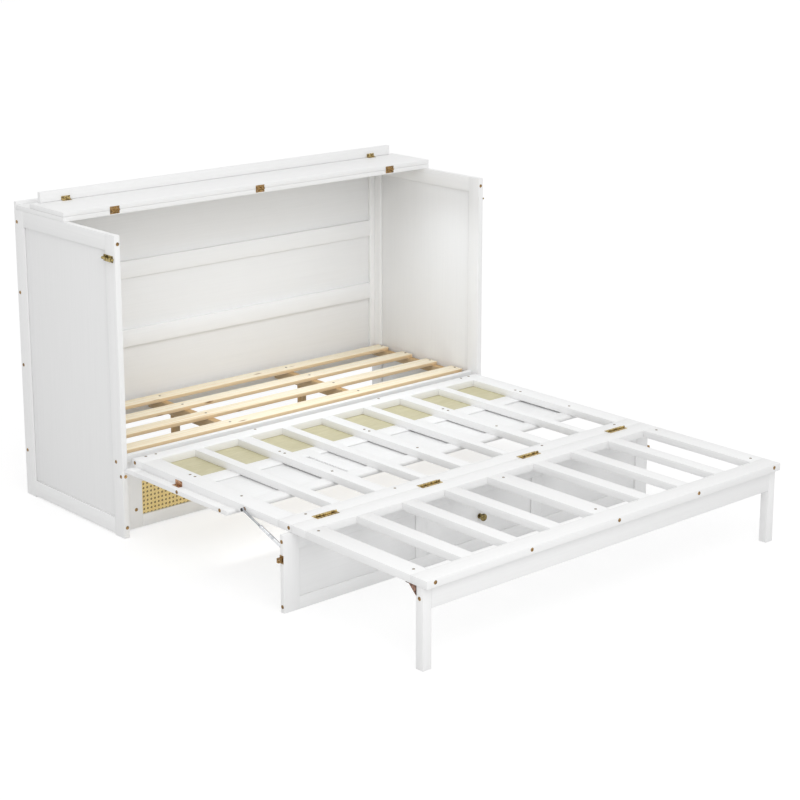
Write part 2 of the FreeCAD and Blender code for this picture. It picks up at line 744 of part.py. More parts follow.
def rounded_rail():
    """Bottom rail of the decorated panel: its rear edge is an arc about the bed's pivot."""
    body = doc.addObject("PartDesign::Body", "decor_bottom_rail")
    sketch = body.newObject("Sketcher::SketchObject", "decor_bottom_outline")
    sketch.AttachmentSupport = [(origin_plane(body, "YZ_Plane"), "")]
    sketch.MapMode = "FlatFace"
    radius = sizes.pivot_drop
    low = radius - sizes.decor_t
    back_edge = (radius ** 2 - low ** 2) ** 0.5
    length = sizes.decor_bottom_w
    centre = FreeCAD.Vector(radius, 0, 0)
    start = FreeCAD.Vector(radius - back_edge, low, 0)
    crown = FreeCAD.Vector(radius, radius, 0)
    front_top = FreeCAD.Vector(length, radius, 0)
    front_low = FreeCAD.Vector(length, low, 0)
    circle = Part.Circle(centre, FreeCAD.Vector(0, 0, 1), radius)
    arc = sketch.addGeometry(Part.ArcOfCircle(circle, math.pi / 2, math.pi - math.asin(low / radius)))
    upper = sketch.addGeometry(Part.LineSegment(crown, front_top))
    front = sketch.addGeometry(Part.LineSegment(front_top, front_low))
    under = sketch.addGeometry(Part.LineSegment(front_low, start))
    for rule in (
        ("Coincident", arc, 1, upper, 1),
        ("Coincident", upper, 2, front, 1),
        ("Coincident", front, 2, under, 1),
        ("Coincident", under, 2, arc, 2),
        ("Horizontal", upper),
        ("Vertical", front),
        ("Horizontal", under),
        ("PointOnObject", arc, 3, -1),
        ("Vertical", arc, 3, upper, 1),
    ):
        sketch.addConstraint(Sketcher.Constraint(*rule))
    sized = (
        (Sketcher.Constraint("Radius", arc, radius), "pivot_drop"),
        (Sketcher.Constraint("DistanceX", -1, 1, arc, 3, centre.x), "pivot_drop"),
        (Sketcher.Constraint("DistanceX", -1, 1, front, 1, length), "decor_bottom_w"),
        (Sketcher.Constraint("DistanceY", -1, 1, front, 2, low), "pivot_drop - decor_t"),
    )
    for constraint, text in sized:
        number = sketch.addConstraint(constraint)
        sketch.setExpression(f"Constraints[{number}]", bind(text))
    pad = body.newObject("PartDesign::Pad", "decor_bottom_pad")
    pad.Profile = sketch
    pad.setExpression("Length", bind("cab_w - 2 * decor_side"))
    body.Placement = FreeCAD.Placement(FreeCAD.Vector(), FreeCAD.Rotation(FreeCAD.Vector(0, 0, 1), 180))
    place(body, "cab_w - decor_side", "decor_f0", "pivot_z")
    return body


def decorated_panel():
    """Panel under the middle frame: three cane windows with one board behind them, three plain fields."""
    z = ("decor_z0", "frame_z0")
    lap = "(groove_d - groove_clear)"
    middle = "(decor_z0 + frame_z0) / 2"
    field_z = about(middle, "field_t")
    cane_z = (f"{middle} - cane_t", middle)
    stile_run = ("decor_fa", "decor_fd")
    window_f = (f"decor_fa - {lap}", f"decor_fb + {lap}")
    field_f = (f"decor_fc - {lap}", f"decor_fd + {lap}")
    sheet_low = f"decor_side + end_stile_w - {lap}"
    sheet_x = (sheet_low, f"cab_w - ({sheet_low})")
    sheet_z = ("frame_z0 - groove_clear - backing_t", "frame_z0 - groove_clear")
    fields, canes = [], []
    spaces = [grown("decor_rebate", sheet_x, window_f, (sheet_z[0], "frame_z0"))]
    for index, opening in enumerate(columns()):
        x = (f"{opening[0]} - {lap}", f"{opening[1]} + {lap}")
        fields.append(board(f"decor_field_{index}", x, field_f, field_z))
        canes.append(board(f"decor_cane_{index}", x, window_f, cane_z))
        spaces.append(grown(f"decor_window_{index}", x, window_f, cane_z))
        spaces.append(grown(f"decor_groove_{index}", x, field_f, field_z))
    grooves = fuse("decor_grooves", spaces)
    left = ("decor_side", "decor_side + end_stile_w")
    stiles = [left, flip(left)]
    for centre in pair("mid_stile_off"):
        stiles.append(about(centre, "mid_stile_w"))
    blanks = [rounded_rail(), board("decor_end_blank", PANEL_X, ("decor_fd", "decor_f1"), z)]
    for index, x in enumerate(stiles):
        blanks.append(board(f"decor_stile_blank_{index}", x, stile_run, z))
    for index, x in enumerate(columns()):
        blanks.append(board(f"decor_rail_blank_{index}", x, ("decor_fb", "decor_fc"), z))
    pieces = []
    for index, blank in enumerate(blanks):
        pieces.append(cut(f"decor_member_{index}", blank, grooves))
    node("decor_frame", pieces)
    node("decor_fields", fields)
    node("decor_cane", canes)
    node("decor_backing", [board("decor_backing_sheet", sheet_x, window_f, sheet_z)])
    angles = []
    across = "frame_side - side_t - angle_side"
    outline = (
        ("0", "0"),
        (across, "0"),
        (across, "angle_h"),
        (f"{across} - angle_t", "angle_h"),
        (f"{across} - angle_t", "angle_t"),
        ("0", "angle_t"),
    )
    for index, sign in enumerate((1, -1)):
        angles.append(corner_angle(f"corner_angle_{index}", outline, sign))
    node("corner_angles", angles)


def corner_angle(name, outline, sign):
    """Bent angle in the corner between the decorated panel and the middle frame's side."""
    body = doc.addObject("PartDesign::Body", name)
    sketch = body.newObject("Sketcher::SketchObject", name + "_outline")
    sketch.AttachmentSupport = [(origin_plane(body, "XZ_Plane"), "")]
    sketch.MapMode = "FlatFace"
    draw_outline(sketch, outline)
    pad = body.newObject("PartDesign::Pad", name + "_pad")
    pad.Profile = sketch
    pad.setExpression("Length", bind("angle_l"))
    start = "mid_f0 + angle_f - angle_l / 2"
    if sign > 0:
        place(body, "side_t + angle_side", start, "frame_z0")
    else:
        half_turn = FreeCAD.Rotation(FreeCAD.Vector(0, 0, 1), 180)
        body.Placement = FreeCAD.Placement(FreeCAD.Vector(), half_turn)
        place(body, "cab_w - side_t - angle_side", start + " + angle_l", "frame_z0")
    return body


def leg_panel():
    """Front panel that swings down to stand as the middle leg, with its pull knob."""
    f = ("leg_f0", "leg_f1")
    lap = "(groove_d - groove_clear)"
    middle = about("(leg_f0 + leg_f1) / 2", "field_t")
    opening_z = ("leg_bottom_w", "leg_z1 - leg_top_w")
    field_z = (f"{opening_z[0]} - {lap}", f"{opening_z[1]} + {lap}")
    fields, spaces = [], []
    for index, opening in enumerate(columns()):
        x = (f"{opening[0]} - {lap}", f"{opening[1]} + {lap}")
        fields.append(board(f"leg_field_{index}", x, middle, field_z))
        spaces.append(grown(f"leg_groove_{index}", x, middle, field_z))
    groove = fuse("leg_grooves", spaces)
    left = ("decor_side", "decor_side + end_stile_w")
    between = (left[1], f"cab_w - ({left[1]})")
    blanks = [
        board("leg_left_stile_blank", left, f, ("0", "leg_z1")),
        board("leg_right_stile_blank", flip(left), f, ("0", "leg_z1")),
        board("leg_bottom_rail_blank", between, f, ("0", opening_z[0])),
        board("leg_top_rail_blank", between, f, (opening_z[1], "leg_z1")),
    ]
    for index, centre in enumerate(pair("mid_stile_off")):
        blanks.append(board(f"leg_mid_stile_blank_{index}", about(centre, "mid_stile_w"), f, opening_z))
    pieces = []
    for index, blank in enumerate(blanks):
        pieces.append(cut(f"leg_member_{index}", blank, groove))
    node("leg_panel_frame", pieces)
    node("leg_panel_fields", fields)
    node("pull_knob", [pull_knob()])
    hinge_set(
        ("leg_hinge_rail_leaves", "leg_hinge_panel_leaves", "leg_hinge_pins"),
        ["cab_w / 2"] + pair("leg_hinge_off"),
        "leg_hinge_l",
        ("leg_pin_f", "leg_pin_z"),
        (("flat", ("frame_z0 - leaf_t", "frame_z0")), ("upright", ("leg_f0 - leaf_t", "leg_f0"))),
        (-1, -1),
        SMALL_HINGE + ("leg_leaf_w",),
    )


def pull_knob():
    """Turned knob on the middle field: foot, neck and a head with rounded edges."""
    body = doc.addObject("PartDesign::Body", "pull_knob_body")
    sketch = body.newObject("Sketcher::SketchObject", "pull_knob_outline")
    sketch.AttachmentSupport = [(origin_plane(body, "XZ_Plane"), "")]
    sketch.MapMode = "FlatFace"
    outline = (
        ("0", "0"),
        ("knob_foot_r", "0"),
        ("knob_foot_r", "knob_foot_h"),
        ("knob_neck_r", "knob_foot_h"),
        ("knob_neck_r", "knob_h - knob_head_h"),
        ("knob_r", "knob_h - knob_head_h"),
        ("knob_r", "knob_h"),
        ("0", "knob_h"),
    )
    draw_outline(sketch, outline)
    spin = body.newObject("PartDesign::Revolution", "pull_knob_turning")
    spin.Profile = sketch
    spin.ReferenceAxis = (sketch, ["V_Axis"])
    spin.Angle = 360
    doc.recompute()
    rims = []
    for index, edge in enumerate(spin.Shape.Edges, start=1):
        round_edge = isinstance(edge.Curve, Part.Circle)
        if round_edge and math.isclose(edge.Curve.Radius, sizes.knob_r):
            rims.append(f"Edge{index}")
    soft = body.newObject("PartDesign::Fillet", "pull_knob_round")
    soft.Base = (spin, rims)
    soft.setExpression("Radius", bind("knob_round"))
    forward = FreeCAD.Rotation(FreeCAD.Vector(1, 0, 0), 90)
    body.Placement = FreeCAD.Placement(FreeCAD.Vector(), forward)
    place(body, "cab_w / 2", "(leg_f0 + leg_f1 + field_t) / 2", "knob_z")
    return body


def fold_hinges():
    """Large hinges on the top faces, between the middle and foot frames."""
    flat = ("flat", ("frame_z1", "frame_z1 + fold_leaf_t"))
    hinge_set(
        ("fold_hinge_mid_leaves", "fold_hinge_foot_leaves", "fold_hinge_pins"),
        pair("fold_off_a") + pair("fold_off_b"),
        "fold_hinge_l",
        ("fold_pin_f", "fold_pin_z"),
        (flat, flat),
        (-1, 1),
        ("fold_knuckle_r", "fold_pin_r", "fold_notch", "fold_leaf_w"),
    )


def leg_frame():
    """Two legs and an apron that fold under the foot frame, with hinges and side brackets."""
    left = ("stand_side", "stand_side + stand_w")
    f = ("stand_f0", "stand_f1")
    z = ("0", "frame_z0 - leg_gap")
    node("left_leg", [board("left_leg_post", left, f, z)])
    node("right_leg", [board("right_leg_post", flip(left), f, z)])
    apron_x = (left[1], f"cab_w - ({left[1]})")
    apron_z = ("frame_z0 - apron_drop - apron_h", "frame_z0 - apron_drop")
    node("apron", [board("apron_board", apron_x, ("stand_f1 - apron_t", "stand_f1"), apron_z)])
    hinge_middle = f"{left[1]} - stand_hinge_l / 2 - knuckle_gap"
    hinge_set(
        ("stand_hinge_rail_leaves", "stand_hinge_leg_leaves", "stand_hinge_pins"),
        [hinge_middle, f"cab_w - ({hinge_middle})"],
        "stand_hinge_l",
        ("stand_pin_f", "leg_pin_z"),
        (("flat", ("frame_z0 - leaf_t", "frame_z0")), ("upright", ("stand_f0 - leaf_t", "stand_f0"))),
        (-1, -1),
        SMALL_HINGE + ("stand_leaf_w",),
    )
    brackets = []
    outline = (
        ("0", "bracket_h"),
        ("bracket_l", "0"),
        ("bracket_l", "bracket_h"),
    )
    plate = ("frame_side", "frame_side + bracket_t")
    flange = ("frame_side", "frame_side + bracket_flange_w")
    start = "stand_f0 + bracket_lap - bracket_l"
    for index, turn in enumerate((lambda span: span, flip)):
        web = profile_body(f"bracket_web_{index}", outline, turn(plate), start, "frame_z0 - bracket_h")
        lip_f = ("stand_f0 + bracket_lap - bracket_flange_l", "stand_f0 - 2 * bracket_lap")
        rim = board(f"bracket_flange_{index}", turn(flange), lip_f, ("frame_z0 - bracket_t", "frame_z0"))
        brackets.append(fuse(f"bracket_{index}", [web, rim]))
    node("stand_brackets", brackets)


def along_strut(name, radius, start, end, x):
    """A round piece along the strut's line, between two distances from its upper pivot."""
    tilt = FreeCAD.Rotation(FreeCAD.Vector(1, 0, 0), 100)
    piece = doc.addObject("Part::Cylinder", name)
    piece.Placement = FreeCAD.Placement(FreeCAD.Vector(), tilt)
    piece.setExpression("Placement.Rotation.Angle", bind("90deg + asin(strut_sin)"))
    piece.setExpression("Radius", bind(radius))
    piece.setExpression("Height", bind(f"({end}) - ({start})"))
    place(piece, x, f"strut_af + ({start}) * strut_cos", f"strut_az - ({start}) * strut_sin")
    return piece


def strut(name, turn, studs, feet):
    """Gas strut: a stud on the middle frame, rod, cylinder, and a pivot foot on the leg panel."""
    centre = "strut_x"
    neck_x = "strut_x - strut_r + foot_eye_w / 2"
    if name == "right":
        centre = f"cab_w - ({centre})"
        neck_x = f"cab_w - ({neck_x})"
    flange_x = turn(("frame_side - stud_flange_t", "frame_side"))
    boss_x = turn(("strut_x + socket_w / 2 + strut_side_gap", "frame_side - stud_flange_t"))
    stud = [
        bar_x(f"{name}_stud_flange", flange_x, "strut_af", "strut_az", "stud_flange_r"),
        bar_x(f"{name}_stud_boss", boss_x, "strut_af", "strut_az", "stud_boss_r"),
    ]
    studs.append(fuse(f"{name}_stud", stud))
    rod = [
        bar_x(f"{name}_rod_socket", about(centre, "socket_w"), "strut_af", "strut_az", "eye_r"),
        along_strut(f"{name}_rod_bar", "rod_r", "0", "rod_l", centre),
    ]
    node(f"{name}_strut_rod", [fuse(f"{name}_rod", rod)])
    eye_x = turn(("strut_x - strut_r", "strut_x - strut_r + foot_eye_w"))
    barrel_end = "strut_l - eye_r - tube_end_gap"
    tube = [
        along_strut(f"{name}_tube_barrel", "strut_r", "tube_start", barrel_end, centre),
        along_strut(f"{name}_tube_neck", "tube_neck_r", f"{barrel_end} - tube_end_gap", "strut_l", neck_x),
        bar_x(f"{name}_tube_eye", eye_x, "strut_bf", "strut_bz", "eye_r"),
    ]
    bore_end = "tube_start + tube_bore_l"
    hollow = [
        along_strut(f"{name}_tube_bore", "rod_r + pin_clear", "tube_start", bore_end, centre),
        bar_x(f"{name}_tube_eye_bore", eye_x, "strut_bf", "strut_bz", "foot_pin_r + pin_clear"),
    ]
    tube_solid = fuse(f"{name}_tube_solid", tube)
    node(f"{name}_strut_cylinder", [cut(f"{name}_tube", tube_solid, fuse(f"{name}_tube_hollow", hollow))])
    ear_start = "strut_x - strut_r + foot_eye_w + strut_side_gap"
    ear_x = turn((ear_start, f"{ear_start} + foot_ear_w"))
    pin_x = turn(("strut_x - strut_r", ear_start))
    plate_f = ("leg_f0 - foot_plate_t", "leg_f0")
    foot = [
        bar_x(f"{name}_foot_eye", ear_x, "strut_bf", "strut_bz", "eye_r"),
        bar_x(f"{name}_foot_pin", pin_x, "strut_bf", "strut_bz", "foot_pin_r"),
        board(f"{name}_foot_ear", ear_x, ("strut_bf", "leg_f0"), about("strut_bz", "2 * eye_r")),
        board(f"{name}_foot_plate", ear_x, plate_f, about("strut_bz", "foot_plate_h")),
    ]
    feet.append(fuse(f"{name}_strut_foot", foot))


def struts():
    studs, feet = [], []
    strut("left", lambda span: span, studs, feet)
    strut("right", flip, studs, feet)
    node("strut_studs", studs)
    node("strut_feet", feet)


def latches():
    """Barrel bolts on the outer faces of the sides, with keepers on the leg panel's edges."""
    barrels, keepers = [], []
    for name, turn in (("left", lambda span: span), ("right", flip)):
        axis = "-bolt_out" if name == "left" else "cab_w + bolt_out"
        barrel_f = ("bolt_f0", "bolt_f1")
        plate = board(
            f"{name}_latch_plate", turn(("-bolt_plate_t", "0")), barrel_f, about("bolt_z", "bolt_plate_h")
        )
        web = board(f"{name}_latch_web", turn(("-bolt_out", "0")), barrel_f, about("bolt_z", "2 * barrel_r"))
        barrel = bar_f(f"{name}_latch_barrel", axis, barrel_f, "bolt_z", "barrel_r")
        bore = bar_f(f"{name}_latch_bore", axis, barrel_f, "bolt_z", "bolt_r + pin_clear")
        slot_f = (
            "bolt_knob_f - bolt_knob_r - bolt_slot_clear",
            "bolt_knob_f + bolt_knob_r + bolt_slot_clear + bolt_travel",
        )
        slot_x = about(axis, "2 * (bolt_knob_r + bolt_slot_clear)")
        slot = board(f"{name}_latch_slot", slot_x, slot_f, ("bolt_z", "bolt_z + 2 * barrel_r"))
        solid = fuse(f"{name}_latch_solid", [plate, web, barrel])
        barrels.append(cut(f"{name}_latch", solid, fuse(f"{name}_latch_hollow", [bore, slot])))
        rod_f = ("bolt_f0 + bolt_tail", "side_d - bolt_nose")
        rod = bar_f(f"{name}_bolt_rod", axis, rod_f, "bolt_z", "bolt_r")
        grip = bar_z(
            f"{name}_bolt_grip", axis, "bolt_knob_f", ("bolt_z", "bolt_z + bolt_knob_h"), "bolt_knob_r"
        )
        node(f"{name}_latch_bolt", [fuse(f"{name}_bolt", [rod, grip])])
        keeper_plate = board(
            f"{name}_keeper_plate",
            turn(("decor_side - keeper_plate_t", "decor_side")),
            ("leg_f0", "leg_f1"),
            about("keeper_z", "keeper_plate_h"),
        )
        loop_x = turn(("-bolt_out - keeper_h / 2 + keeper_clear", "decor_side"))
        loop_f = about("keeper_f", "keeper_w")
        loop = board(f"{name}_keeper_loop", loop_x, loop_f, about("keeper_z", "keeper_h"))
        eye = bar_f(f"{name}_keeper_eye", axis, loop_f, "keeper_z", "bolt_r + keeper_clear")
        keepers.append(cut(f"{name}_keeper", fuse(f"{name}_keeper_solid", [keeper_plate, loop]), eye))
    node("latch_barrels", barrels)
    node("bolt_keepers", keepers)


side("left_side", lambda span: span)
side("right_side", flip)
back()
top()
base()
deck()
pivots()
middle_frame()
decorated_panel()
leg_panel()
fold_hinges()
foot_frame()
leg_frame()
struts()
latches()
doc.recompute()

faults = []
for thing in doc.Objects:
    if "Invalid" in thing.State or "Error" in thing.State:
        faults.append(f"{thing.Label}: {thing.State}")
for whole, count in nodes:
    shape = whole.Shape
    if shape.isNull() or not shape.isValid() or len(shape.Solids) != count:
        faults.append(f"{whole.Label}: {len(shape.Solids)} solids where {count} are meant")
if faults:
    raise RuntimeError("; ".join(faults))

os.makedirs("parts", exist_ok=True)
for whole, count in nodes:
    whole.Shape.exportStep(os.path.join("parts", whole.Label + ".step"))
print(len(nodes), "sub-parts,", sum(count for whole, count in nodes), "solids")
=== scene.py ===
# %% [markdown]
# # A cabinet wall bed, opened out
# The bed folds out of a low white cabinet: a slatted deck stays inside, a middle section swings down
# in front of it, and a foot section unfolds onto a pair of legs.
# The packed CAD model already has every board, hinge and strut in its real place, so this lesson
# doesn't measure anything twice. It loads that model as a fixed frame and dresses it: boards get
# eased edges and grain, cane gets a real weave, and the fittings get their screws.

# %% Load the frame
import json
import math

import bpy
from mathutils import Euler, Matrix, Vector

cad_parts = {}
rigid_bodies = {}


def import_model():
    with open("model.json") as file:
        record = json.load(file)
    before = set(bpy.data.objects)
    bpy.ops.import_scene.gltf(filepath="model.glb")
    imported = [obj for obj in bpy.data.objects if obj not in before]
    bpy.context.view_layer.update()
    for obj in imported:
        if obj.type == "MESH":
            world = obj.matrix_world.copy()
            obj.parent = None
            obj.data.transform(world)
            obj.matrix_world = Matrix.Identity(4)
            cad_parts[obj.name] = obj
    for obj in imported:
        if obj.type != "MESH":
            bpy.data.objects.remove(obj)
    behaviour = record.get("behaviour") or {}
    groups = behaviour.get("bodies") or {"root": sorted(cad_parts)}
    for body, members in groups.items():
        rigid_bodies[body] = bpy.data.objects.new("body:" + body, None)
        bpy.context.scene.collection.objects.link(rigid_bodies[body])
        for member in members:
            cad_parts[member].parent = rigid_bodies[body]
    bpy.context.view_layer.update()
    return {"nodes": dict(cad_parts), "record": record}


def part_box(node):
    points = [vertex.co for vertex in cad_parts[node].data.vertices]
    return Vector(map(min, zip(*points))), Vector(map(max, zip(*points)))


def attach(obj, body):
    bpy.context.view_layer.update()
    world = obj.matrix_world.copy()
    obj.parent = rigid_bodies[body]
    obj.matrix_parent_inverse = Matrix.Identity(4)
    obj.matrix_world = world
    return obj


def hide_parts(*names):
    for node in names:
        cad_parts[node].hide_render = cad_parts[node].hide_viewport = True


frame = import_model()
bpy.ops.object.select_all(action="DESELECT")

# %% [markdown]
# ## Working in the maker's measures
# A joiner measures from a face. Here x runs from the cabinet's left outer face, f forward from its
# rear face and z up from the floor, all in millimetres. Blender works in metres about the middle of
# the bed, so one small function turns the first into the second, and the rest of the lesson can use
# plain measures.

# %% Measures
CABINET_WIDTH = 1650.0
BED_LENGTH = 2088.0
MIDDLE = CABINET_WIDTH / 2
MM = 0.001


def spot(x, f, z):
    """A place in metres, from millimetres across, forward and up."""
    return Vector(((x - MIDDLE) * MM, (BED_LENGTH / 2 - f) * MM, z * MM))


print("left rear corner on the floor is at", tuple(round(c, 3) for c in spot(0, 0, 0)))

# %% [markdown]
# ## Hand moves
# Most modelling calls act on what is selected, so these helpers select pieces, go in and out of edit
# mode, and apply a piece's place, turn and modifiers to its mesh.

# %% Take up, settle and edit


def take_up(*pieces):
    """Select some objects and nothing else, with the first one active."""
    bpy.ops.object.select_all(action="DESELECT")
    for piece in pieces:
        piece.select_set(True)
    bpy.context.view_layer.objects.active = pieces[0]


def settle(piece):
    """Move a piece's place, turn and scale into its mesh."""
    take_up(piece)
    bpy.ops.object.transform_apply(location=True, rotation=True, scale=True)


def apply_all(piece):
    """Make a piece's modifiers permanent, in their order."""
    take_up(piece)
    for modifier in list(piece.modifiers):
        bpy.ops.object.modifier_apply(modifier=modifier.name)


def edit(piece, select="SELECT"):
    """Go into edit mode on one piece with all of it selected, or none."""
    take_up(piece)
    bpy.ops.object.mode_set(mode="EDIT")
    bpy.ops.mesh.select_all(action=select)


def leave_edit():
    """Go back to object mode, which also stores what was selected."""
    bpy.ops.object.mode_set(mode="OBJECT")


print("hand moves: take_up, settle, apply_all, edit, leave_edit")

# %% [markdown]
# ## Joining and finishing a piece
# A finished piece is one object with a plain name, one finish, and one body of the bed that it moves
# with. The record says which body each CAD node belongs to.

# %% Join and finish


def joined(pieces, name):
    """Join pieces into one object with a plain name."""
    take_up(*pieces)
    if len(pieces) > 1:
        bpy.ops.object.join()
    whole = bpy.context.view_layer.objects.active
    whole.name = name
    whole.data.name = name
    return whole


def finish(piece, body, material):
    """Give a piece its finish and let it move with a body of the bed."""
    piece.data.materials.clear()
    piece.data.materials.append(material)
    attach(piece, body)


body_of = {}
for body_name, members in frame["record"]["behaviour"]["bodies"].items():
    for member in members:
        body_of[member] = body_name
print("nodes that belong to a body:", len(body_of))

# %% [markdown]
# ## Effects that several finishes share
# Painted wood, bare pine and cane all show fibres that run one way. A noise texture that is squeezed
# across and stretched along gives such lines, and a finer noise on the same place gives the pores.
# It is built once as a node group, and each finish sets how long and fine its fibres are.

# %% Fibres


def new_group(name, inputs, outputs):
    """A shader group that takes a place and some numbers and gives numbers."""
    group = bpy.data.node_groups.new(name, "ShaderNodeTree")
    group.interface.new_socket("Vector", in_out="INPUT", socket_type="NodeSocketVector")
    for label in inputs:
        group.interface.new_socket(label, in_out="INPUT", socket_type="NodeSocketFloat")
    for label in outputs:
        group.interface.new_socket(label, in_out="OUTPUT", socket_type="NodeSocketFloat")
    return group, group.nodes.new("NodeGroupInput"), group.nodes.new("NodeGroupOutput")


fibres, fibres_in, fibres_out = new_group("fibres", ["Along", "Across", "Wander"], ["Lines", "Pores"])
stretch = fibres.nodes.new("ShaderNodeCombineXYZ")
fibres.links.new(fibres_in.outputs["Along"], stretch.inputs["X"])
fibres.links.new(fibres_in.outputs["Across"], stretch.inputs["Y"])
fibres.links.new(fibres_in.outputs["Across"], stretch.inputs["Z"])
squeezed = fibres.nodes.new("ShaderNodeVectorMath")
squeezed.operation = "MULTIPLY"
fibres.links.new(fibres_in.outputs["Vector"], squeezed.inputs[0])
fibres.links.new(stretch.outputs["Vector"], squeezed.inputs[1])
lines = fibres.nodes.new("ShaderNodeTexNoise")
lines.inputs["Scale"].default_value = 1.0
lines.inputs["Detail"].default_value = 3.0
lines.inputs["Roughness"].default_value = 0.55
fibres.links.new(squeezed.outputs["Vector"], lines.inputs["Vector"])
fibres.links.new(fibres_in.outputs["Wander"], lines.inputs["Distortion"])
fibres.links.new(lines.outputs["Fac"], fibres_out.inputs["Lines"])
pores = fibres.nodes.new("ShaderNodeTexNoise")
pores.inputs["Scale"].default_value = 4.0
pores.inputs["Detail"].default_value = 1.0
fibres.links.new(squeezed.outputs["Vector"], pores.inputs["Vector"])
fibres.links.new(pores.outputs["Fac"], fibres_out.inputs["Pores"])
print("group:", fibres.name, "with", len(fibres.nodes), "nodes")

# %% [markdown]
# ### Patches
# A second group makes soft cloudy patches: handling marks on paint, tarnish on plated steel. Low and
# High say where in the noise a patch begins and where it is full.

# %% Patches
patches, patches_in, patches_out = new_group("patches", ["Size", "Low", "High"], ["Patch"])
cloud = patches.nodes.new("ShaderNodeTexNoise")
cloud.inputs["Detail"].default_value = 4.0
patches.links.new(patches_in.outputs["Vector"], cloud.inputs["Vector"])
patches.links.new(patches_in.outputs["Size"], cloud.inputs["Scale"])
spread = patches.nodes.new("ShaderNodeMapRange")
spread.interpolation_type = "SMOOTHSTEP"
patches.links.new(cloud.outputs["Fac"], spread.inputs["Value"])
patches.links.new(patches_in.outputs["Low"], spread.inputs["From Min"])
patches.links.new(patches_in.outputs["High"], spread.inputs["From Max"])
patches.links.new(spread.outputs["Result"], patches_out.inputs["Patch"])
print("group:", patches.name, "with", len(patches.nodes), "nodes")

# %% [markdown]
# ## Building a finish from nodes
# Every finish starts the same way: a new material with one Principled shader. The helper below adds a
# node and sets its inputs by name, so that each finish reads like a short recipe: where the pattern is
# measured, how it is coloured, how rough it is and how it is raised.

# %% Helpers for finishes


class Finish:
    """A material being built, with its shader and short calls to add nodes and links."""

    def __init__(self, name):
        self.material = bpy.data.materials.new(name)
        self.material.use_nodes = True
        self.nodes = self.material.node_tree.nodes
        self.links = self.material.node_tree.links
        self.shader = self.nodes["Principled BSDF"]

    def add(self, kind, **values):
        """A node with its inputs set by name, with _ for a space."""
        node = self.nodes.new(kind)
        for label, value in values.items():
            node.inputs[label.replace("_", " ")].default_value = value
        return node

    def group(self, tree, vector, **values):
        """One of the shared groups, measured on a map."""
        node = self.nodes.new("ShaderNodeGroup")
        node.node_tree = tree
        self.links.new(vector, node.inputs["Vector"])
        for label, value in values.items():
            node.inputs[label].default_value = value
        return node

    def join(self, start, end):
        self.links.new(start, end)

    def tones(self, factor, *stops):
        """A colour ramp of (position, colour) stops."""
        ramp = self.nodes.new("ShaderNodeValToRGB")
        while len(ramp.color_ramp.elements) < len(stops):
            ramp.color_ramp.elements.new(0.5)
        for element, (position, colour) in zip(ramp.color_ramp.elements, stops):
            element.position = position
            element.color = (*colour, 1.0)
        self.links.new(factor, ramp.inputs["Fac"])
        return ramp.outputs["Color"]

    def blend(self, factor, first, second):
        """Mix two colours, each a socket or a plain colour, by a factor."""
        mix = self.nodes.new("ShaderNodeMix")
        mix.data_type = "RGBA"
        for value, socket in ((first, mix.inputs[6]), (second, mix.inputs[7])):
            if isinstance(value, tuple):
                socket.default_value = (*value, 1.0)
            else:
                self.links.new(value, socket)
        self.links.new(factor, mix.inputs[0])
        return mix.outputs[2]

    def span(self, factor, low, high):
        """Stretch a 0 to 1 value between two numbers."""
        ranged = self.add("ShaderNodeMapRange", To_Min=low, To_Max=high)
        self.links.new(factor, ranged.inputs["Value"])
        return ranged.outputs["Result"]

    def raise_by(self, height, strength, distance, under=None):
        """A bump, laid over another one if given."""
        bump = self.add("ShaderNodeBump", Strength=strength, Distance=distance)
        self.links.new(height, bump.inputs["Height"])
        if under is not None:
            self.links.new(under, bump.inputs["Normal"])
        return bump.outputs["Normal"]

    def dress(self, colour, roughness, normal):
        """Join the three patterns that a finish ends in to its shader."""
        self.links.new(colour, self.shader.inputs["Base Color"])
        self.links.new(roughness, self.shader.inputs["Roughness"])
        self.links.new(normal, self.shader.inputs["Normal"])
        return self.material

    def grain_map(self):
        """The board's own map, with U along its length."""
        uv = self.nodes.new("ShaderNodeUVMap")
        uv.uv_map = "grain"
        return uv.outputs["UV"]

    def place_map(self):
        """The place on the bed, in metres."""
        return self.nodes.new("ShaderNodeTexCoord").outputs["Object"]


print("finish calls:", [name for name in vars(Finish) if not name.startswith("_")])

# %% [markdown]
# ## White paint on wood
# The bed is sprayed white. The paint is satin, and the wood under it still shows as very faint lines
# along each board. So the colour hardly changes, and the lines go mostly into the bump and roughness.
# The thin panels of the back and sides are a shade greyer than the solid rails round them.

# %% White paint
RAIL_WHITE = 0.9
PANEL_WHITE = 0.872


def grey(level):
    """A white that is a trace cooler than neutral."""
    return (level, level + 0.001, level)


def painted(name, level):
    """Satin paint of some whiteness, with faint grain lines and a fine sprayed texture."""
    paint = Finish(name)
    grain = paint.group(fibres, paint.grain_map(), Along=3.0, Across=150.0, Wander=0.6)
    marks = paint.group(patches, paint.place_map(), Size=2.2, Low=0.3, High=0.75)
    tone = paint.tones(grain.outputs["Lines"], (0.3, grey(level - 0.012)), (0.62, grey(level + 0.008)))
    colour = paint.blend(paint.span(marks.outputs["Patch"], 0.0, 0.35), tone, grey(level - 0.008))
    roughness = paint.span(grain.outputs["Pores"], 0.4, 0.56)
    raised = paint.raise_by(grain.outputs["Lines"], 0.1, 0.0005)
    sprayed = paint.add("ShaderNodeTexNoise", Scale=420.0, Detail=2.0)
    paint.join(paint.place_map(), sprayed.inputs["Vector"])
    raised = paint.raise_by(sprayed.outputs["Fac"], 0.08, 0.0003, raised)
    paint.shader.inputs["Specular IOR Level"].default_value = 0.35
    return paint.dress(colour, roughness, raised)


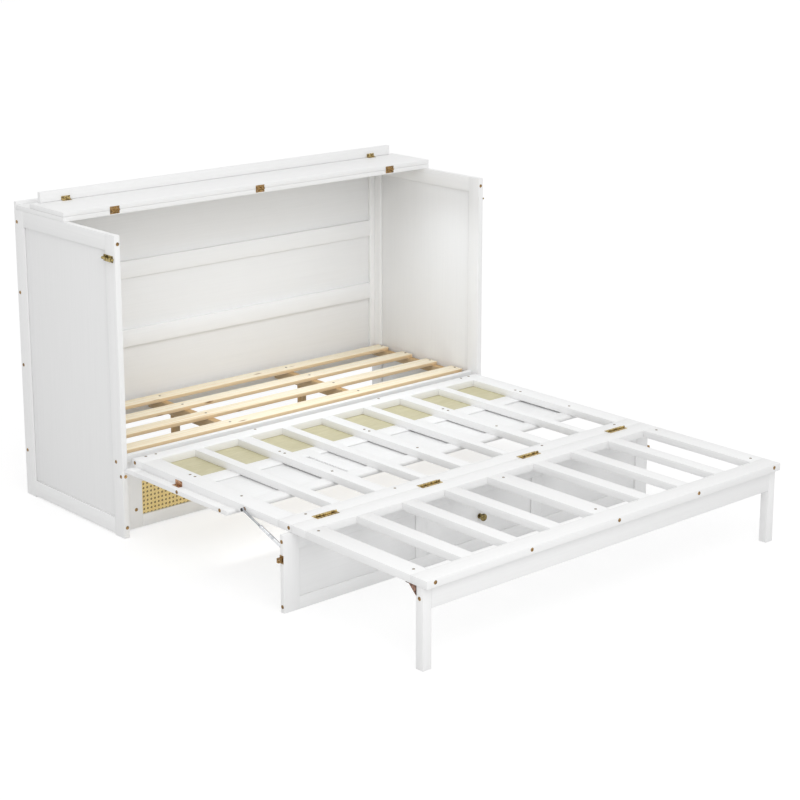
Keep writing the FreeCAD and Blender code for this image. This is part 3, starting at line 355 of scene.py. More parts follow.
rail_paint = painted("white_paint_on_wood", RAIL_WHITE)
panel_paint = painted("white_paint_on_panels", PANEL_WHITE)
print("paints:", rail_paint.name, panel_paint.name)

# %% [markdown]
# ## Bare pine
# The slats, bearers, ledgers and posts are planed pine with no paint. Pine has wide pale bands with
# narrow darker lines between them, and here and there a small brown knot. The bands are stretched
# noise on the board's own map. The knots are a cell texture: each cell has one centre, and only
# the spot near it is dark. Sawn sides are more orange than the planed faces, so each board carries
# an attribute that is 1 on its sides. The bearers, ledgers and posts under the slats get a browner
# pine as painted shade, for the shade that falls under the slats.

# %% Pine
PINE_SHADE_BROWN = (0.42, 0.25, 0.09)
KNOT_BROWN = (0.36, 0.2, 0.09)
UNDER_SHADE_SHARE = 0.7


def bare_pine(name, brown):
    """Planed pine, turned part of the way to brown by a share, as painted shade."""

    def shade(*colour):
        return tuple(c + (b - c) * brown for c, b in zip(colour, PINE_SHADE_BROWN))

    wood = Finish(name)
    along = wood.grain_map()
    growth = wood.group(fibres, along, Along=1.3, Across=85.0, Wander=1.2)
    fine = wood.group(fibres, along, Along=5.0, Across=330.0, Wander=0.3)
    drift = wood.group(patches, wood.place_map(), Size=3.0, Low=0.3, High=0.75)
    colour = wood.tones(
        growth.outputs["Lines"],
        (0.30, shade(0.84, 0.65, 0.41)),
        (0.42, shade(0.95, 0.85, 0.65)),
        (0.58, shade(0.97, 0.91, 0.76)),
        (0.75, shade(0.96, 0.87, 0.68)),
    )
    streaks = wood.tones(fine.outputs["Lines"], (0.48, (0.0, 0.0, 0.0)), (0.7, (0.6, 0.6, 0.6)))
    colour = wood.blend(streaks, colour, shade(0.84, 0.64, 0.38))
    colour = wood.blend(wood.span(drift.outputs["Patch"], 0.0, 0.3), colour, shade(0.96, 0.85, 0.64))
    sawn = wood.nodes.new("ShaderNodeAttribute")
    sawn.attribute_name = "sawn"
    colour = wood.blend(wood.span(sawn.outputs["Fac"], 0.0, 0.75), colour, shade(0.80, 0.57, 0.31))
    knot_place = wood.add("ShaderNodeMapping", Scale=(4.2, 17.0, 1.0))
    wood.join(along, knot_place.inputs["Vector"])
    knot_cell = wood.add("ShaderNodeTexVoronoi", Scale=1.0, Randomness=1.0)
    wood.join(knot_place.outputs["Vector"], knot_cell.inputs["Vector"])
    knots = wood.tones(knot_cell.outputs["Distance"], (0.03, (1.0, 1.0, 1.0)), (0.10, (0.0, 0.0, 0.0)))
    colour = wood.blend(knots, colour, KNOT_BROWN)
    roughness = wood.span(growth.outputs["Pores"], 0.5, 0.72)
    raised = wood.raise_by(fine.outputs["Lines"], 0.3, 0.0004)
    wood.shader.inputs["Specular IOR Level"].default_value = 0.3
    return wood.dress(colour, roughness, raised)


slat_pine = bare_pine("bare_pine", 0.0)
# The pieces under the slats get pine turned browner, as painted shade under the slats.
painted_shade_pine = bare_pine("pine_in_painted_shade", UNDER_SHADE_SHARE)
print("timbers:", slat_pine.name, painted_shade_pine.name)

# %% [markdown]
# ## Cane
# Cane strands are golden and slightly glossy, with fibres along them that show in the colour, the
# roughness and the bump.

# %% Golden cane
cane = Finish("golden_cane")
cane_place = cane.place_map()
cane_fibres = cane.group(fibres, cane_place, Along=400.0, Across=60.0, Wander=0.5)
cane_drift = cane.group(patches, cane_place, Size=30.0, Low=0.35, High=0.7)
cane_tone = cane.tones(
    cane_fibres.outputs["Lines"],
    (0.3, (0.87, 0.65, 0.26)),
    (0.6, (0.95, 0.78, 0.37)),
    (0.8, (0.96, 0.84, 0.47)),
)
cane_patch = cane.span(cane_drift.outputs["Patch"], 0.0, 0.45)
cane_colour = cane.blend(cane_patch, cane_tone, (0.93, 0.74, 0.32))
cane_roughness = cane.span(cane_fibres.outputs["Pores"], 0.32, 0.5)
cane_raised = cane.raise_by(cane_fibres.outputs["Lines"], 0.3, 0.0003)
cane.dress(cane_colour, cane_roughness, cane_raised)
print("cane:", cane.material.name, "with", len(cane.nodes), "nodes")

# %% [markdown]
# ## Boards behind the cane
# Behind the weave lies a thin board. The decorated panel's is khaki. The base's is dark brown as
# painted shade, so that the holes in the weave read as shadow.

# %% Thin boards


def thin_board(name, dark, pale, patch):
    """A matt board face: fibres from dark to pale, and patches of a third colour."""
    face = Finish(name)
    place = face.place_map()
    streaks = face.group(fibres, place, Along=14.0, Across=90.0, Wander=0.8)
    drift = face.group(patches, place, Size=9.0, Low=0.3, High=0.75)
    tone = face.tones(streaks.outputs["Lines"], (0.3, dark), (0.65, pale))
    colour = face.blend(face.span(drift.outputs["Patch"], 0.0, 0.4), tone, patch)
    roughness = face.span(drift.outputs["Patch"], 0.5, 0.66)
    raised = face.raise_by(streaks.outputs["Lines"], 0.2, 0.0004)
    return face.dress(colour, roughness, raised)


KHAKI = ((0.53, 0.49, 0.305), (0.62, 0.58, 0.395), (0.575, 0.535, 0.35))
# Dark browns that paint the shade seen through the holes of the base's cane.
SHADE_IN_HOLES = ((0.25, 0.175, 0.075), (0.36, 0.26, 0.12), (0.3, 0.21, 0.095))
khaki_board = thin_board("khaki_backing", *KHAKI)
painted_shade_board = thin_board("backing_with_painted_shade", *SHADE_IN_HOLES)
print("backing boards:", khaki_board.name, painted_shade_board.name)

# %% [markdown]
# ## Plated metals
# Hinges, bolts and screws are yellow-plated steel that has dulled to bronze or copper in places. The
# pivots and the tubes of the gas struts are bright steel, and their rods are greyer.

# %% Plated metals


def plated(name, bright, dull, size, smooth, rough):
    """A plated metal: bright with duller patches, and fine brushing in its bump."""
    metal = Finish(name)
    place = metal.place_map()
    tarnish = metal.group(patches, place, Size=size, Low=0.38, High=0.66)
    brushing = metal.group(fibres, place, Along=60.0, Across=1500.0, Wander=0.0)
    colour = metal.blend(tarnish.outputs["Patch"], bright, dull)
    roughness = metal.span(tarnish.outputs["Patch"], smooth, rough)
    raised = metal.raise_by(brushing.outputs["Lines"], 0.12, 0.0001)
    metal.shader.inputs["Metallic"].default_value = 1.0
    return metal.dress(colour, roughness, raised)


brass_metal = plated("yellow_plate", (0.64, 0.50, 0.23), (0.21, 0.145, 0.055), 110.0, 0.24, 0.44)
dark_brass = plated("dark_brass", (0.33, 0.26, 0.11), (0.12, 0.09, 0.035), 130.0, 0.26, 0.46)
aged_metal = plated("aged_brass", (0.46, 0.36, 0.14), (0.13, 0.10, 0.035), 130.0, 0.26, 0.46)
copper_metal = plated("copper_plate", (0.60, 0.36, 0.22), (0.27, 0.15, 0.09), 110.0, 0.26, 0.46)
dark_copper = plated("dark_copper", (0.34, 0.20, 0.15), (0.11, 0.065, 0.05), 140.0, 0.28, 0.5)
bronze_metal = plated("bronze_bolt", (0.42, 0.26, 0.105), (0.17, 0.10, 0.04), 160.0, 0.3, 0.48)
steel_metal = plated("bright_steel", (0.78, 0.79, 0.81), (0.55, 0.56, 0.59), 60.0, 0.12, 0.26)
rod_metal = plated("rod_steel", (0.46, 0.47, 0.49), (0.31, 0.32, 0.34), 60.0, 0.12, 0.26)
black_metal = plated("black_steel", (0.05, 0.05, 0.055), (0.025, 0.025, 0.028), 90.0, 0.3, 0.5)
screw_metal = plated("dull_screw", (0.36, 0.29, 0.20), (0.17, 0.135, 0.09), 200.0, 0.3, 0.5)
print("finishes so far:", len(bpy.data.materials))

# %% [markdown]
# ## Boards with eased edges
# A sawn board never has a knife edge: it is sanded a little round, and that is what catches light and
# shows where one board meets the next. Each CAD node holds one or more closed boards. The boards are
# told apart by walking through the triangles: when every edge has met its partner, a board is complete.

# %% Split a node into its boards
MICRONS = 1e6


def closed_boards(node):
    """Each closed board of a CAD node, as lists of corner points and of faces."""
    mesh = frame["nodes"][node].data
    boards, points, faces, waiting = [], {}, [], set()
    for polygon in mesh.polygons:
        ring = []
        for number in polygon.vertices:
            key = tuple(round(c * MICRONS) for c in mesh.vertices[number].co)
            ring.append(points.setdefault(key, len(points)))
        faces.append(ring)
        for start, end in zip(ring, ring[1:] + ring[:1]):
            if (end, start) in waiting:
                waiting.remove((end, start))
            else:
                waiting.add((start, end))
        if not waiting:
            boards.append(([Vector(key) / MICRONS for key in points], faces))
            points, faces = {}, []
    return boards


print("boards in the back frame:", len(closed_boards("back_frame")))

# %% [markdown]
# ### Grain along the board
# A map is laid with U along the board's length, so that grain runs the right way on every rail, stile
# and slat. Bare boards also carry a mark on their sawn sides.

# %% Lay the grain and mark the sawn sides
GRAIN_STEP = (1.37, 0.61)
END_GRAIN = 0.7


def lay_grain(board, number):
    """A map in metres with U along the board, moved on for each board so no two look alike."""
    places = [vertex.co for vertex in board.data.vertices]
    size = [max(p[i] for p in places) - min(p[i] for p in places) for i in range(3)]
    length = size.index(max(size))
    sides = [i for i in range(3) if i != length]
    layer = board.data.uv_layers.new(name="grain")
    for polygon in board.data.polygons:
        across = min(sides, key=lambda i: abs(polygon.normal[i]))
        along = length
        if abs(polygon.normal[length]) > END_GRAIN:
            along = sides[0] if across == sides[1] else sides[1]
        for corner in polygon.loop_indices:
            place = places[board.data.loops[corner].vertex_index]
            u = place[along] + GRAIN_STEP[0] * number
            v = place[across] + GRAIN_STEP[1] * number
            layer.data[corner].uv = (u, v)


def mark_sides(board):
    """Mark how far each face turns away from the board's two broad faces."""
    size = board.dimensions
    thin = list(size).index(min(size))
    mark = board.data.attributes.new("sawn", "FLOAT", "FACE")
    for polygon in board.data.polygons:
        mark.data[polygon.index].value = 1.0 - abs(polygon.normal[thin])


print("grain moves on per board by", GRAIN_STEP, "m")

# %% [markdown]
# ### Eased edges
# Each board's flat triangles are dissolved, and a Bevel modifier eases its edges. The end rail of the
# decorated panel also has two rounded corners.

# %% Ease the edges
DECOR_END = 1204.5
DECOR_RADIUS = 9.0
UPRIGHT_LEAST = 0.01
ON_LINE = 0.0001
EASED_ANGLE = math.radians(50)
SMOOTH_ANGLE = math.radians(35)


def round_corners(board, line, radius):
    """Round the upright corners that stand on a line across the bed."""
    edit(board, "DESELECT")
    leave_edit()
    for edge in board.data.edges:
        ends = [board.data.vertices[v].co for v in edge.vertices]
        upright = abs(ends[0].z - ends[1].z) > UPRIGHT_LEAST
        edge.select = upright and all(abs(end.y - line) < ON_LINE for end in ends)
    bpy.ops.object.mode_set(mode="EDIT")
    bpy.ops.mesh.bevel(offset=radius * MM, segments=5)
    leave_edit()


def eased_boards(node, material, slot, ease):
    """Stand-ins for a node's boards with rounded edges, grain and a finish."""
    done = []
    for number, (points, faces) in enumerate(closed_boards(node)):
        mesh = bpy.data.meshes.new(f"{node}_{number}")
        mesh.from_pydata(points, [], faces)
        board = bpy.data.objects.new(f"{node}_{number}", mesh)
        bpy.context.scene.collection.objects.link(board)
        edit(board)
        bpy.ops.mesh.dissolve_limited(angle_limit=math.radians(1))
        leave_edit()
        if node == "decor_frame":
            round_corners(board, spot(0, DECOR_END, 0).y, DECOR_RADIUS)
        bevel = board.modifiers.new("ease", "BEVEL")
        bevel.width = ease * MM
        bevel.segments = 2
        bevel.limit_method = "ANGLE"
        bevel.angle_limit = EASED_ANGLE
        apply_all(board)
        lay_grain(board, number + len(node))
        if slot == "pine":
            mark_sides(board)
        done.append(board)
    count = len(done)
    whole = joined(done, node + "_boards")
    take_up(whole)
    bpy.ops.object.shade_smooth_by_angle(angle=SMOOTH_ANGLE)
    finish(whole, body_of[node], material)
    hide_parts(node)
    return count


print("rounded corners stand at f =", DECOR_END, "mm")

# %% [markdown]
# ### Dressing the boards
# Each node has its own ease in millimetres: least on the thin panels and most on the slats.

# %% Dress the painted and the bare boards
PAINTED = {
    "left_side_frame": 1.2,
    "left_side_panel": 0.5,
    "right_side_frame": 1.2,
    "right_side_panel": 0.5,
    "back_frame": 1.0,
    "back_panel": 0.5,
    "top_board": 1.5,
    "back_gallery": 1.5,
    "base_frame": 1.2,
    "deck_front_rail": 1.5,
    "top_flap": 1.5,
    "lip_strip": 1.5,
    "mid_frame": 1.2,
    "decor_frame": 1.2,
    "decor_fields": 0.5,
    "leg_panel_frame": 1.2,
    "leg_panel_fields": 0.5,
    "foot_frame": 1.5,
    "left_leg": 1.8,
    "right_leg": 1.8,
    "apron": 1.5,
}
PANELS = ("left_side_panel", "right_side_panel", "back_panel")
BARE = {"deck_slats": 2.0, "deck_bearers": 1.5, "deck_ledgers": 1.5, "deck_posts": 1.5}
board_count = 0
for node_name, ease in PAINTED.items():
    face = panel_paint if node_name in PANELS else rail_paint
    board_count += eased_boards(node_name, face, "white_paint", ease)
# The slats get bare pine. The bearers, ledgers and posts get the pine browned as painted shade.
for node_name, ease in BARE.items():
    face = slat_pine if node_name == "deck_slats" else painted_shade_pine
    board_count += eased_boards(node_name, face, "pine", ease)
print("boards dressed:", board_count)

# %% [markdown]
# ## The fittings and the backing
# The hinges, pins, brackets, struts and backing boards already have their real shape in the CAD
# model, with rolled knuckles, bores and bent flanges. They stay as they are, and only get a finish.

# %% Finish the carried-over fittings
slot_finish = {
    "brass": brass_metal,
    "steel": steel_metal,
    "backing": khaki_board,
    "cane": cane.material,
}
own_finish = {
    # The base's backing board is dark brown as painted shade in the holes of its weave.
    "base_backing": painted_shade_board,
    "corner_angles": copper_metal,
    "stand_brackets": dark_copper,
    "pull_knob": dark_brass,
    "top_hinge_leaves": bronze_metal,
    "flap_hinge_leaves": bronze_metal,
    "bolt_keepers": bronze_metal,
    "strut_studs": bronze_metal,
    "left_strut_rod": rod_metal,
    "right_strut_rod": rod_metal,
    "latch_barrels": aged_metal,
    "left_latch_bolt": aged_metal,
    "right_latch_bolt": aged_metal,
}
kept = 0
for subpart in frame["record"]["subparts"]:
    node_name = subpart["node"]
    if subpart["material_slot"] in slot_finish:
        carried = frame["nodes"][node_name]
        carried.data.materials.clear()
        carried.data.materials.append(own_finish.get(node_name, slot_finish[subpart["material_slot"]]))
        kept += 1
print("fittings finished:", kept)

# %% [markdown]
# ## Cane weave
# Chair cane is woven in six directions: pairs of strands upright and across, and single strands along
# both slants. The slants cut the corners of each square, which leaves small eight-sided holes.
# One upright strand is modelled with a wave that carries it over and under, and Array modifiers
# repeat it.

# %% One strand and its copies
PITCH = 15.0
STRAND = 3.3
PAIR_STEP = 3.7
WAVE = 0.3


def strand(length, waves, phase):
    """One flat strand along Z, in the XZ plane, that waves over and under the crossings."""
    bpy.ops.mesh.primitive_grid_add(x_subdivisions=1, y_subdivisions=waves, size=1.0)
    piece = bpy.context.object
    piece.scale = (STRAND * MM, length * MM, 1.0)
    piece.rotation_euler = (math.pi / 2, 0.0, 0.0)
    settle(piece)
    rows = sorted({round(v.co.z, 7) for v in piece.data.vertices})
    edit(piece, "DESELECT")
    leave_edit()
    for vertex in piece.data.vertices:
        vertex.select = waves > 1 and (rows.index(round(vertex.co.z, 7)) + phase) % 2 == 0
    bpy.ops.object.mode_set(mode="EDIT")
    bpy.ops.transform.translate(value=(0.0, -2 * WAVE * MM, 0.0))
    leave_edit()
    return piece


def repeat(piece, step, count):
    """Repeat a piece by a step in millimetres."""
    array = piece.modifiers.new("repeat", "ARRAY")
    array.use_relative_offset = False
    array.use_constant_offset = True
    array.constant_offset_displace = Vector(step) * MM
    array.count = count
    apply_all(piece)


print("weave pitch:", PITCH, "mm, strand width:", STRAND, "mm")

# %% [markdown]
# ### Upright and slanted sets
# Alternate pairs of upright strands wave the other way, as in the real weave. The slanted strands lie
# flat, one set in front and one behind.

# %% Sets of strands
SLANT_FRONT = -1.1
SLANT_REAR = 0.5


def woven_set(width, height):
    """Pairs of upright strands across a width, alternate pairs waving the other way."""
    waves = 2 * math.ceil(height / PITCH / 2)
    pairs = 2 * math.ceil(width / PITCH / 2)
    halves = []
    for phase in (0, 1):
        piece = strand(waves * PITCH, waves, phase)
        repeat(piece, (PAIR_STEP, 0.0, 0.0), 2)
        repeat(piece, (2 * PITCH, 0.0, 0.0), pairs // 2)
        piece.location.x = ((phase - pairs / 2 + 0.5) * PITCH - PAIR_STEP / 2) * MM
        settle(piece)
        halves.append(piece)
    return joined(halves, "strands")


def slanted_set(width, height, slant, depth):
    """Single strands at 45 degrees, half a pitch off so that they cut the corners."""
    reach = 2 * math.ceil((width + height) / PITCH / 2)
    piece = strand(height * math.sqrt(2) + 4 * STRAND, 1, 0)
    piece.rotation_euler = (0.0, slant * math.pi / 4, 0.0)
    settle(piece)
    piece.location = ((0.5 - reach / 2) * PITCH * MM, depth * MM, 0.0)
    settle(piece)
    repeat(piece, (PITCH, 0.0, 0.0), reach + 1)
    return piece


print("slanted strands lie at", SLANT_FRONT, "and", SLANT_REAR, "mm")

# %% [markdown]
# ### A panel of cane
# The four sets are joined and trimmed to the window with bisect, and Solidify gives the strands their
# thickness.

# %% A panel of cane
SKIN = 0.45
CANE_ANGLE = math.radians(40)
WINDOW_SIDES = ((1, 0, 0), (-1, 0, 0), (0, 0, 1), (0, 0, -1))


def trim(piece, width, height):
    """Cut a weave to its window."""
    for normal in WINDOW_SIDES:
        reach = width / 2 if normal[0] else height / 2
        edit(piece)
        bpy.ops.mesh.bisect(plane_co=Vector(normal) * reach * MM, plane_no=normal, clear_outer=True)
        leave_edit()


def cane_panel(width, height):
    """A panel of cane in the XZ plane about the origin, facing -Y."""
    uprights = woven_set(width, height)
    crossings = woven_set(height, width)
    crossings.rotation_euler = (0.0, math.pi / 2, 0.0)
    settle(crossings)
    front_slants = slanted_set(width, height, 1, SLANT_FRONT)
    rear_slants = slanted_set(width, height, -1, SLANT_REAR)
    panel = joined([uprights, crossings, front_slants, rear_slants], "cane")
    trim(panel, width, height)
    solid = panel.modifiers.new("skin", "SOLIDIFY")
    solid.thickness = SKIN * MM
    solid.offset = 0.0
    apply_all(panel)
    take_up(panel)
    bpy.ops.object.shade_smooth_by_angle(angle=CANE_ANGLE)
    return panel


print("cane strands are", SKIN, "mm thick")

# %% [markdown]
# ### Cane in the base front
# The base front has one long window, and the weave is modelled at its size and moved into it.

# %% Cane in the base front
low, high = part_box("base_cane")
base_weave = cane_panel((high.x - low.x) / MM, (high.z - low.z) / MM)
base_weave.location = (low + high) / 2
settle(base_weave)
joined([base_weave], "base_cane_weave")
finish(base_weave, "cabinet", cane.material)
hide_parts("base_cane")
print("base cane faces:", len(base_weave.data.polygons))

# %% [markdown]
# ### Cane in the decorated panel
# It has three windows, which face down while the bed is open and forward when the cabinet is closed.

# %% Cane in the decorated panel
windows = []
for points, faces in closed_boards("decor_cane"):
    low = Vector([min(p[i] for p in points) for i in range(3)])
    high = Vector([max(p[i] for p in points) for i in range(3)])
    window = cane_panel((high.x - low.x) / MM, (high.y - low.y) / MM)
    window.rotation_euler = (math.pi / 2, 0.0, 0.0)
    window.location = (low + high) / 2
    settle(window)
    windows.append(window)
decor_weave = joined(windows, "decor_cane_weave")
finish(decor_weave, "middle", cane.material)
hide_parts("decor_cane")
print("decorated cane faces:", len(decor_weave.data.polygons))

# %% [markdown]
# ## Bolts and screws
# The boards are held by bolts with flat bronze heads and a six-sided socket, and the hinges by small
# cross-slotted screws. Each is modelled once: a cylinder with its rim bevelled, and the socket cut
# with a Boolean.

# %% A flat head and a cutter
RIM_EASE = 0.35


def cut_out(piece, cutter):
    """Cut one piece out of another and throw the cutter away."""
    hole = piece.modifiers.new("socket", "BOOLEAN")
    hole.operation = "DIFFERENCE"
    hole.solver = "EXACT"
    hole.object = cutter
    apply_all(piece)
    bpy.data.objects.remove(cutter)


def flat_head(name, radius, sides, proud, sunk):
    """A flat round head about the Z axis, its rim bevelled, from -sunk to proud."""
    bpy.ops.mesh.primitive_cylinder_add(vertices=sides, radius=radius * MM, depth=(proud + sunk) * MM)
    head = bpy.context.object
    head.name = name
    head.location.z = (proud - sunk) / 2 * MM
    settle(head)
    edit(head, "DESELECT")
    leave_edit()
    for edge in head.data.edges:
        edge.select = all(head.data.vertices[v].co.z > proud * MM * 0.9 for v in edge.vertices)
    bpy.ops.object.mode_set(mode="EDIT")
    bpy.ops.mesh.bevel(offset=RIM_EASE * MM, segments=1)
    leave_edit()
    return head


print("head rims are eased by", RIM_EASE, "mm")

# %% [markdown]
# ### One bolt and two screws
# The heads stand only 0.7 mm proud, so that they pass each other when the bed folds, and each socket
# stops just above the wood.

# %% Model one bolt head and the screw heads
SOCKET_FLOOR = 0.12
SLOT_HEIGHT = 1.0
SLOT_LENGTH = 1.3
SLOT_WIDTH = 0.3
SCREW_PROUD = 0.6
SCREW_SUNK = 0.8
BOLT_RADIUS = 6.2
BOLT_PROUD = 0.7
BOLT_SUNK = 1.5
HEX_RADIUS = 2.9
HEX_HEIGHT = 2.0
HINGE_SCREW_RADIUS = 2.4
BOARD_SCREW_RADIUS = 4.7


def cross_head(name, radius):
    """A screw head with two crossed slots, sized by its radius."""
    head = flat_head(name, radius, 14, SCREW_PROUD, SCREW_SUNK)
    slot_place = (0, 0, (SOCKET_FLOOR + SLOT_HEIGHT / 2) * MM)
    for angle in (0.0, math.pi / 2):
        bpy.ops.mesh.primitive_cube_add(size=1.0, location=slot_place, rotation=(0, 0, angle))
        slot_cutter = bpy.context.object
        slot_cutter.scale = (SLOT_LENGTH * radius * MM, SLOT_WIDTH * radius * MM, SLOT_HEIGHT * MM)
        settle(slot_cutter)
        cut_out(head, slot_cutter)
    return head


bolt = flat_head("bolt_head", BOLT_RADIUS, 20, BOLT_PROUD, BOLT_SUNK)
bpy.ops.mesh.primitive_cylinder_add(
    vertices=6,
    radius=HEX_RADIUS * MM,
    depth=HEX_HEIGHT * MM,
    location=(0, 0, (SOCKET_FLOOR + HEX_HEIGHT / 2) * MM),
)
cut_out(bolt, bpy.context.object)
hinge_screw = cross_head("hinge_screw_head", HINGE_SCREW_RADIUS)
board_screw = cross_head("board_screw_head", BOARD_SCREW_RADIUS)
print("bolt faces:", len(bolt.data.polygons), "screw faces:", len(board_screw.data.polygons))

# %% [markdown]
# ### Copies in their places
# A place is a way to face and three measures. Each copy has its own mesh and is turned a little further
# than the last one, because no fitter leaves all slots in line. The copies of one set are joined.

# %% Put copies in their places
TURN_STEP = 0.7
HEAD_ANGLE = math.radians(30)
FACING = {
    "up": (0.0, 0.0, 0.0),
    "down": (math.pi, 0.0, 0.0),
    "front": (math.pi / 2, 0.0, 0.0),
    "rear": (-math.pi / 2, 0.0, 0.0),
    "left": (0.0, -math.pi / 2, 0.0),
    "right": (0.0, math.pi / 2, 0.0),
}


def both_sides(places):
    """Places on the left half of the bed, and the same ones on the right half."""
    mirrored = []
    for way, x, f, z in places:
        mirrored.append(("right" if way == "left" else way, CABINET_WIDTH - x, f, z))
    return places + mirrored


def set_heads(head, places, name, body, material):
    """Copies of a head at some places, joined into one piece."""
    copies = []
    for number, (way, x, f, z) in enumerate(places):
        copy = head.copy()
        copy.data = head.data.copy()
        bpy.context.scene.collection.objects.link(copy)
        turn = Euler((0.0, 0.0, TURN_STEP * number)).to_matrix()
        copy.rotation_euler = (Euler(FACING[way]).to_matrix() @ turn).to_euler()
        copy.location = spot(x, f, z)
        copies.append(copy)
    whole = joined(copies, name)
    settle(whole)
    bpy.ops.object.shade_smooth_by_angle(angle=HEAD_ANGLE)
    finish(whole, body, material)
    return len(places)


print("ways to face:", list(FACING))

# %% [markdown]
# ### Bolts
# Bolts show on the cabinet's sides and front edges, along the side of the middle section, across the
# foot end, and on the leg panel and the legs.

# %% Bolts
FRAME_SIDE = 35.6
SIDE_FRONT = 624.4
BASE_FACE = 573.97
DECOR_SIDE = 4.0
LEG_SIDE = 37.6
FOOT_BOLT_HEIGHT = 267.0
side_bolts = [("left", 0.0, 15.0, z) for z in (993.0, 742.0, 480.0, 166.0)]
side_bolts += [("left", 0.0, 588.0, 263.0), ("left", 0.0, 615.0, 217.0)]
side_bolts += [("front", 12.0, SIDE_FRONT, z) for z in (1007.0, 217.0, 37.0)]
side_bolts += [("front", 83.0, BASE_FACE, 71.0)]
middle_bolts = [("left", FRAME_SIDE, 647.0, 266.0), ("left", FRAME_SIDE, 1470.0, 265.0)]
middle_bolts += [("left", DECOR_SIDE, f, 245.0) for f in (931.0, 1162.0)]
foot_bolts = both_sides([("front", x, BED_LENGTH, FOOT_BOLT_HEIGHT) for x in (68.0, 450.0)])
foot_bolts += [("front", 827.0, BED_LENGTH, FOOT_BOLT_HEIGHT)]
panel_bolts = [("left", DECOR_SIDE, 1474.7, z) for z in (229.0, 20.0)]
bolt_sets = (
    ("cabinet_bolts", "cabinet", both_sides(side_bolts)),
    ("middle_bolts", "middle", both_sides(middle_bolts)),
    ("foot_bolts", "foot", foot_bolts),
    ("leg_panel_bolts", "leg_panel", both_sides(panel_bolts)),
    ("leg_bolts", "leg_frame", both_sides([("left", LEG_SIDE, 2054.75, 216.0)])),
)
bolts_set = 0
for name, body, places in bolt_sets:
    bolts_set += set_heads(bolt, places, name, body, bronze_metal)
print("bolts:", bolts_set)

# %% [markdown]
# ### Screws in the boards
# The slats, the bars and the back panel are screwed down, the back along its rails and stiles.

# %% Screw places in the boards
FRAME_TOP = 277.2
SLAT_FIRST = 77.0
SLAT_STEP = 144.99
BACK_FACE = 2.0
deck_places = []
for slat in range(4):
    for x in (34.0, 528.0):
        deck_places.append(("up", x, SLAT_FIRST + SLAT_STEP * slat, FRAME_TOP))
back_places = []
for z in (227.0, 501.5, 758.5, 1011.0):
    for x in (33.0, 297.0, 561.0):
        back_places.append(("rear", x, BACK_FACE, z))
for z in (344.0, 630.0, 885.0):
    back_places.append(("rear", 33.0, BACK_FACE, z))
bar_places = [("up", x, f, FRAME_TOP) for x in (83.0, 451.0) for f in (895.0, 922.0, 1172.0)]
bar_places += [("up", x, 642.0, FRAME_TOP) for x in (83.0, 123.0, 540.0)]
bar_places += [("up", 129.0, 1435.0, FRAME_TOP), ("up", 492.0, 1435.0, FRAME_TOP)]
bar_places = both_sides(bar_places) + [("up", MIDDLE, f, FRAME_TOP) for f in (895.0, 922.0, 1172.0)]
foot_places = both_sides([("up", 66.0, 1575.0, FRAME_TOP), ("up", 72.0, 1992.0, FRAME_TOP)])
foot_places += [("up", MIDDLE, f, FRAME_TOP) for f in (1587.0, 1991.0)]
print("screw places on the middle bars:", len(bar_places))

# %% [markdown]
# ### Screws in the hinges
# Each leaf has its screws in a row beside the hinge line, and the latches, keepers and pivot arms have
# theirs. The flap's middle hinge stands on the middle of the bed, so its other screws are mirrored.

# %% Screw places in the hinges
FLAP_HINGE_FACE = 321.2
FLAP_LINE = 1052.7
LEAF_MIDDLE = 8.2
FLAP_HINGE = 203.0
FLAP_SCREW = 12.0
LATCH_HEIGHT = 956.0
ARM_PLATE = 300.0
LIP_HINGE = 132.0
LIP_SCREW = 11.0
FOLD_LINE = 1480.0
FOLD_LEAF_TOP = FRAME_TOP + 1.5
FOLD_LEAF_MIDDLE = 9.6
STAND_HINGE = 59.8
UNDER_RAIL = 250.8
LEG_LEAF_HEIGHT = 237.3
cabinet_screws = []
flap_screws = []
for x in (MIDDLE - FLAP_SCREW, FLAP_HINGE - FLAP_SCREW, FLAP_HINGE + FLAP_SCREW):
    cabinet_screws.append(("front", x, FLAP_HINGE_FACE, FLAP_LINE - LEAF_MIDDLE))
    flap_screws.append(("front", x, FLAP_HINGE_FACE, FLAP_LINE + LEAF_MIDDLE))
cabinet_screws += [("left", -1.5, f, LATCH_HEIGHT + up) for f in (563.4, 609.4) for up in (-8.2, 8.2)]
cabinet_screws += [("front", ARM_PLATE + x, 576.97, z) for x in (-11.0, 11.0) for z in (176.0, 218.0)]
flap_screws += [("up", LIP_HINGE + x, 134.7, 1070.3) for x in (-LIP_SCREW, LIP_SCREW)]
lip_screws = [("front", LIP_HINGE + x, 125.2, 1079.8) for x in (-LIP_SCREW, LIP_SCREW)]
middle_screws = []
foot_screws = []
for hinge in (171.0, 601.0):
    for x in (-33.0, 0.0, 33.0):
        middle_screws.append(("up", hinge + x, FOLD_LINE - FOLD_LEAF_MIDDLE, FOLD_LEAF_TOP))
        foot_screws.append(("up", hinge + x, FOLD_LINE + FOLD_LEAF_MIDDLE, FOLD_LEAF_TOP))
panel_screws = [("left", 2.5, 1474.75, 173.0 + up) for up in (-10.5, 10.5)]
for hinge in (225.0, 803.0):
    middle_screws.append(("down", hinge, 1451.8, UNDER_RAIL))
    panel_screws.append(("rear", hinge, 1465.3, LEG_LEAF_HEIGHT))
foot_screws += [("down", STAND_HINGE + x, 2024.8, UNDER_RAIL) for x in (-5.0, 5.0)]
leg_screws = [("rear", STAND_HINGE + x, 2038.3, LEG_LEAF_HEIGHT) for x in (-5.0, 5.0)]
print("hinge screws on the middle section:", 2 * len(middle_screws))

# %% [markdown]
# ### Setting the screws
# Board screws are larger than hinge screws. The corner angles have a brighter one in their lower leg.

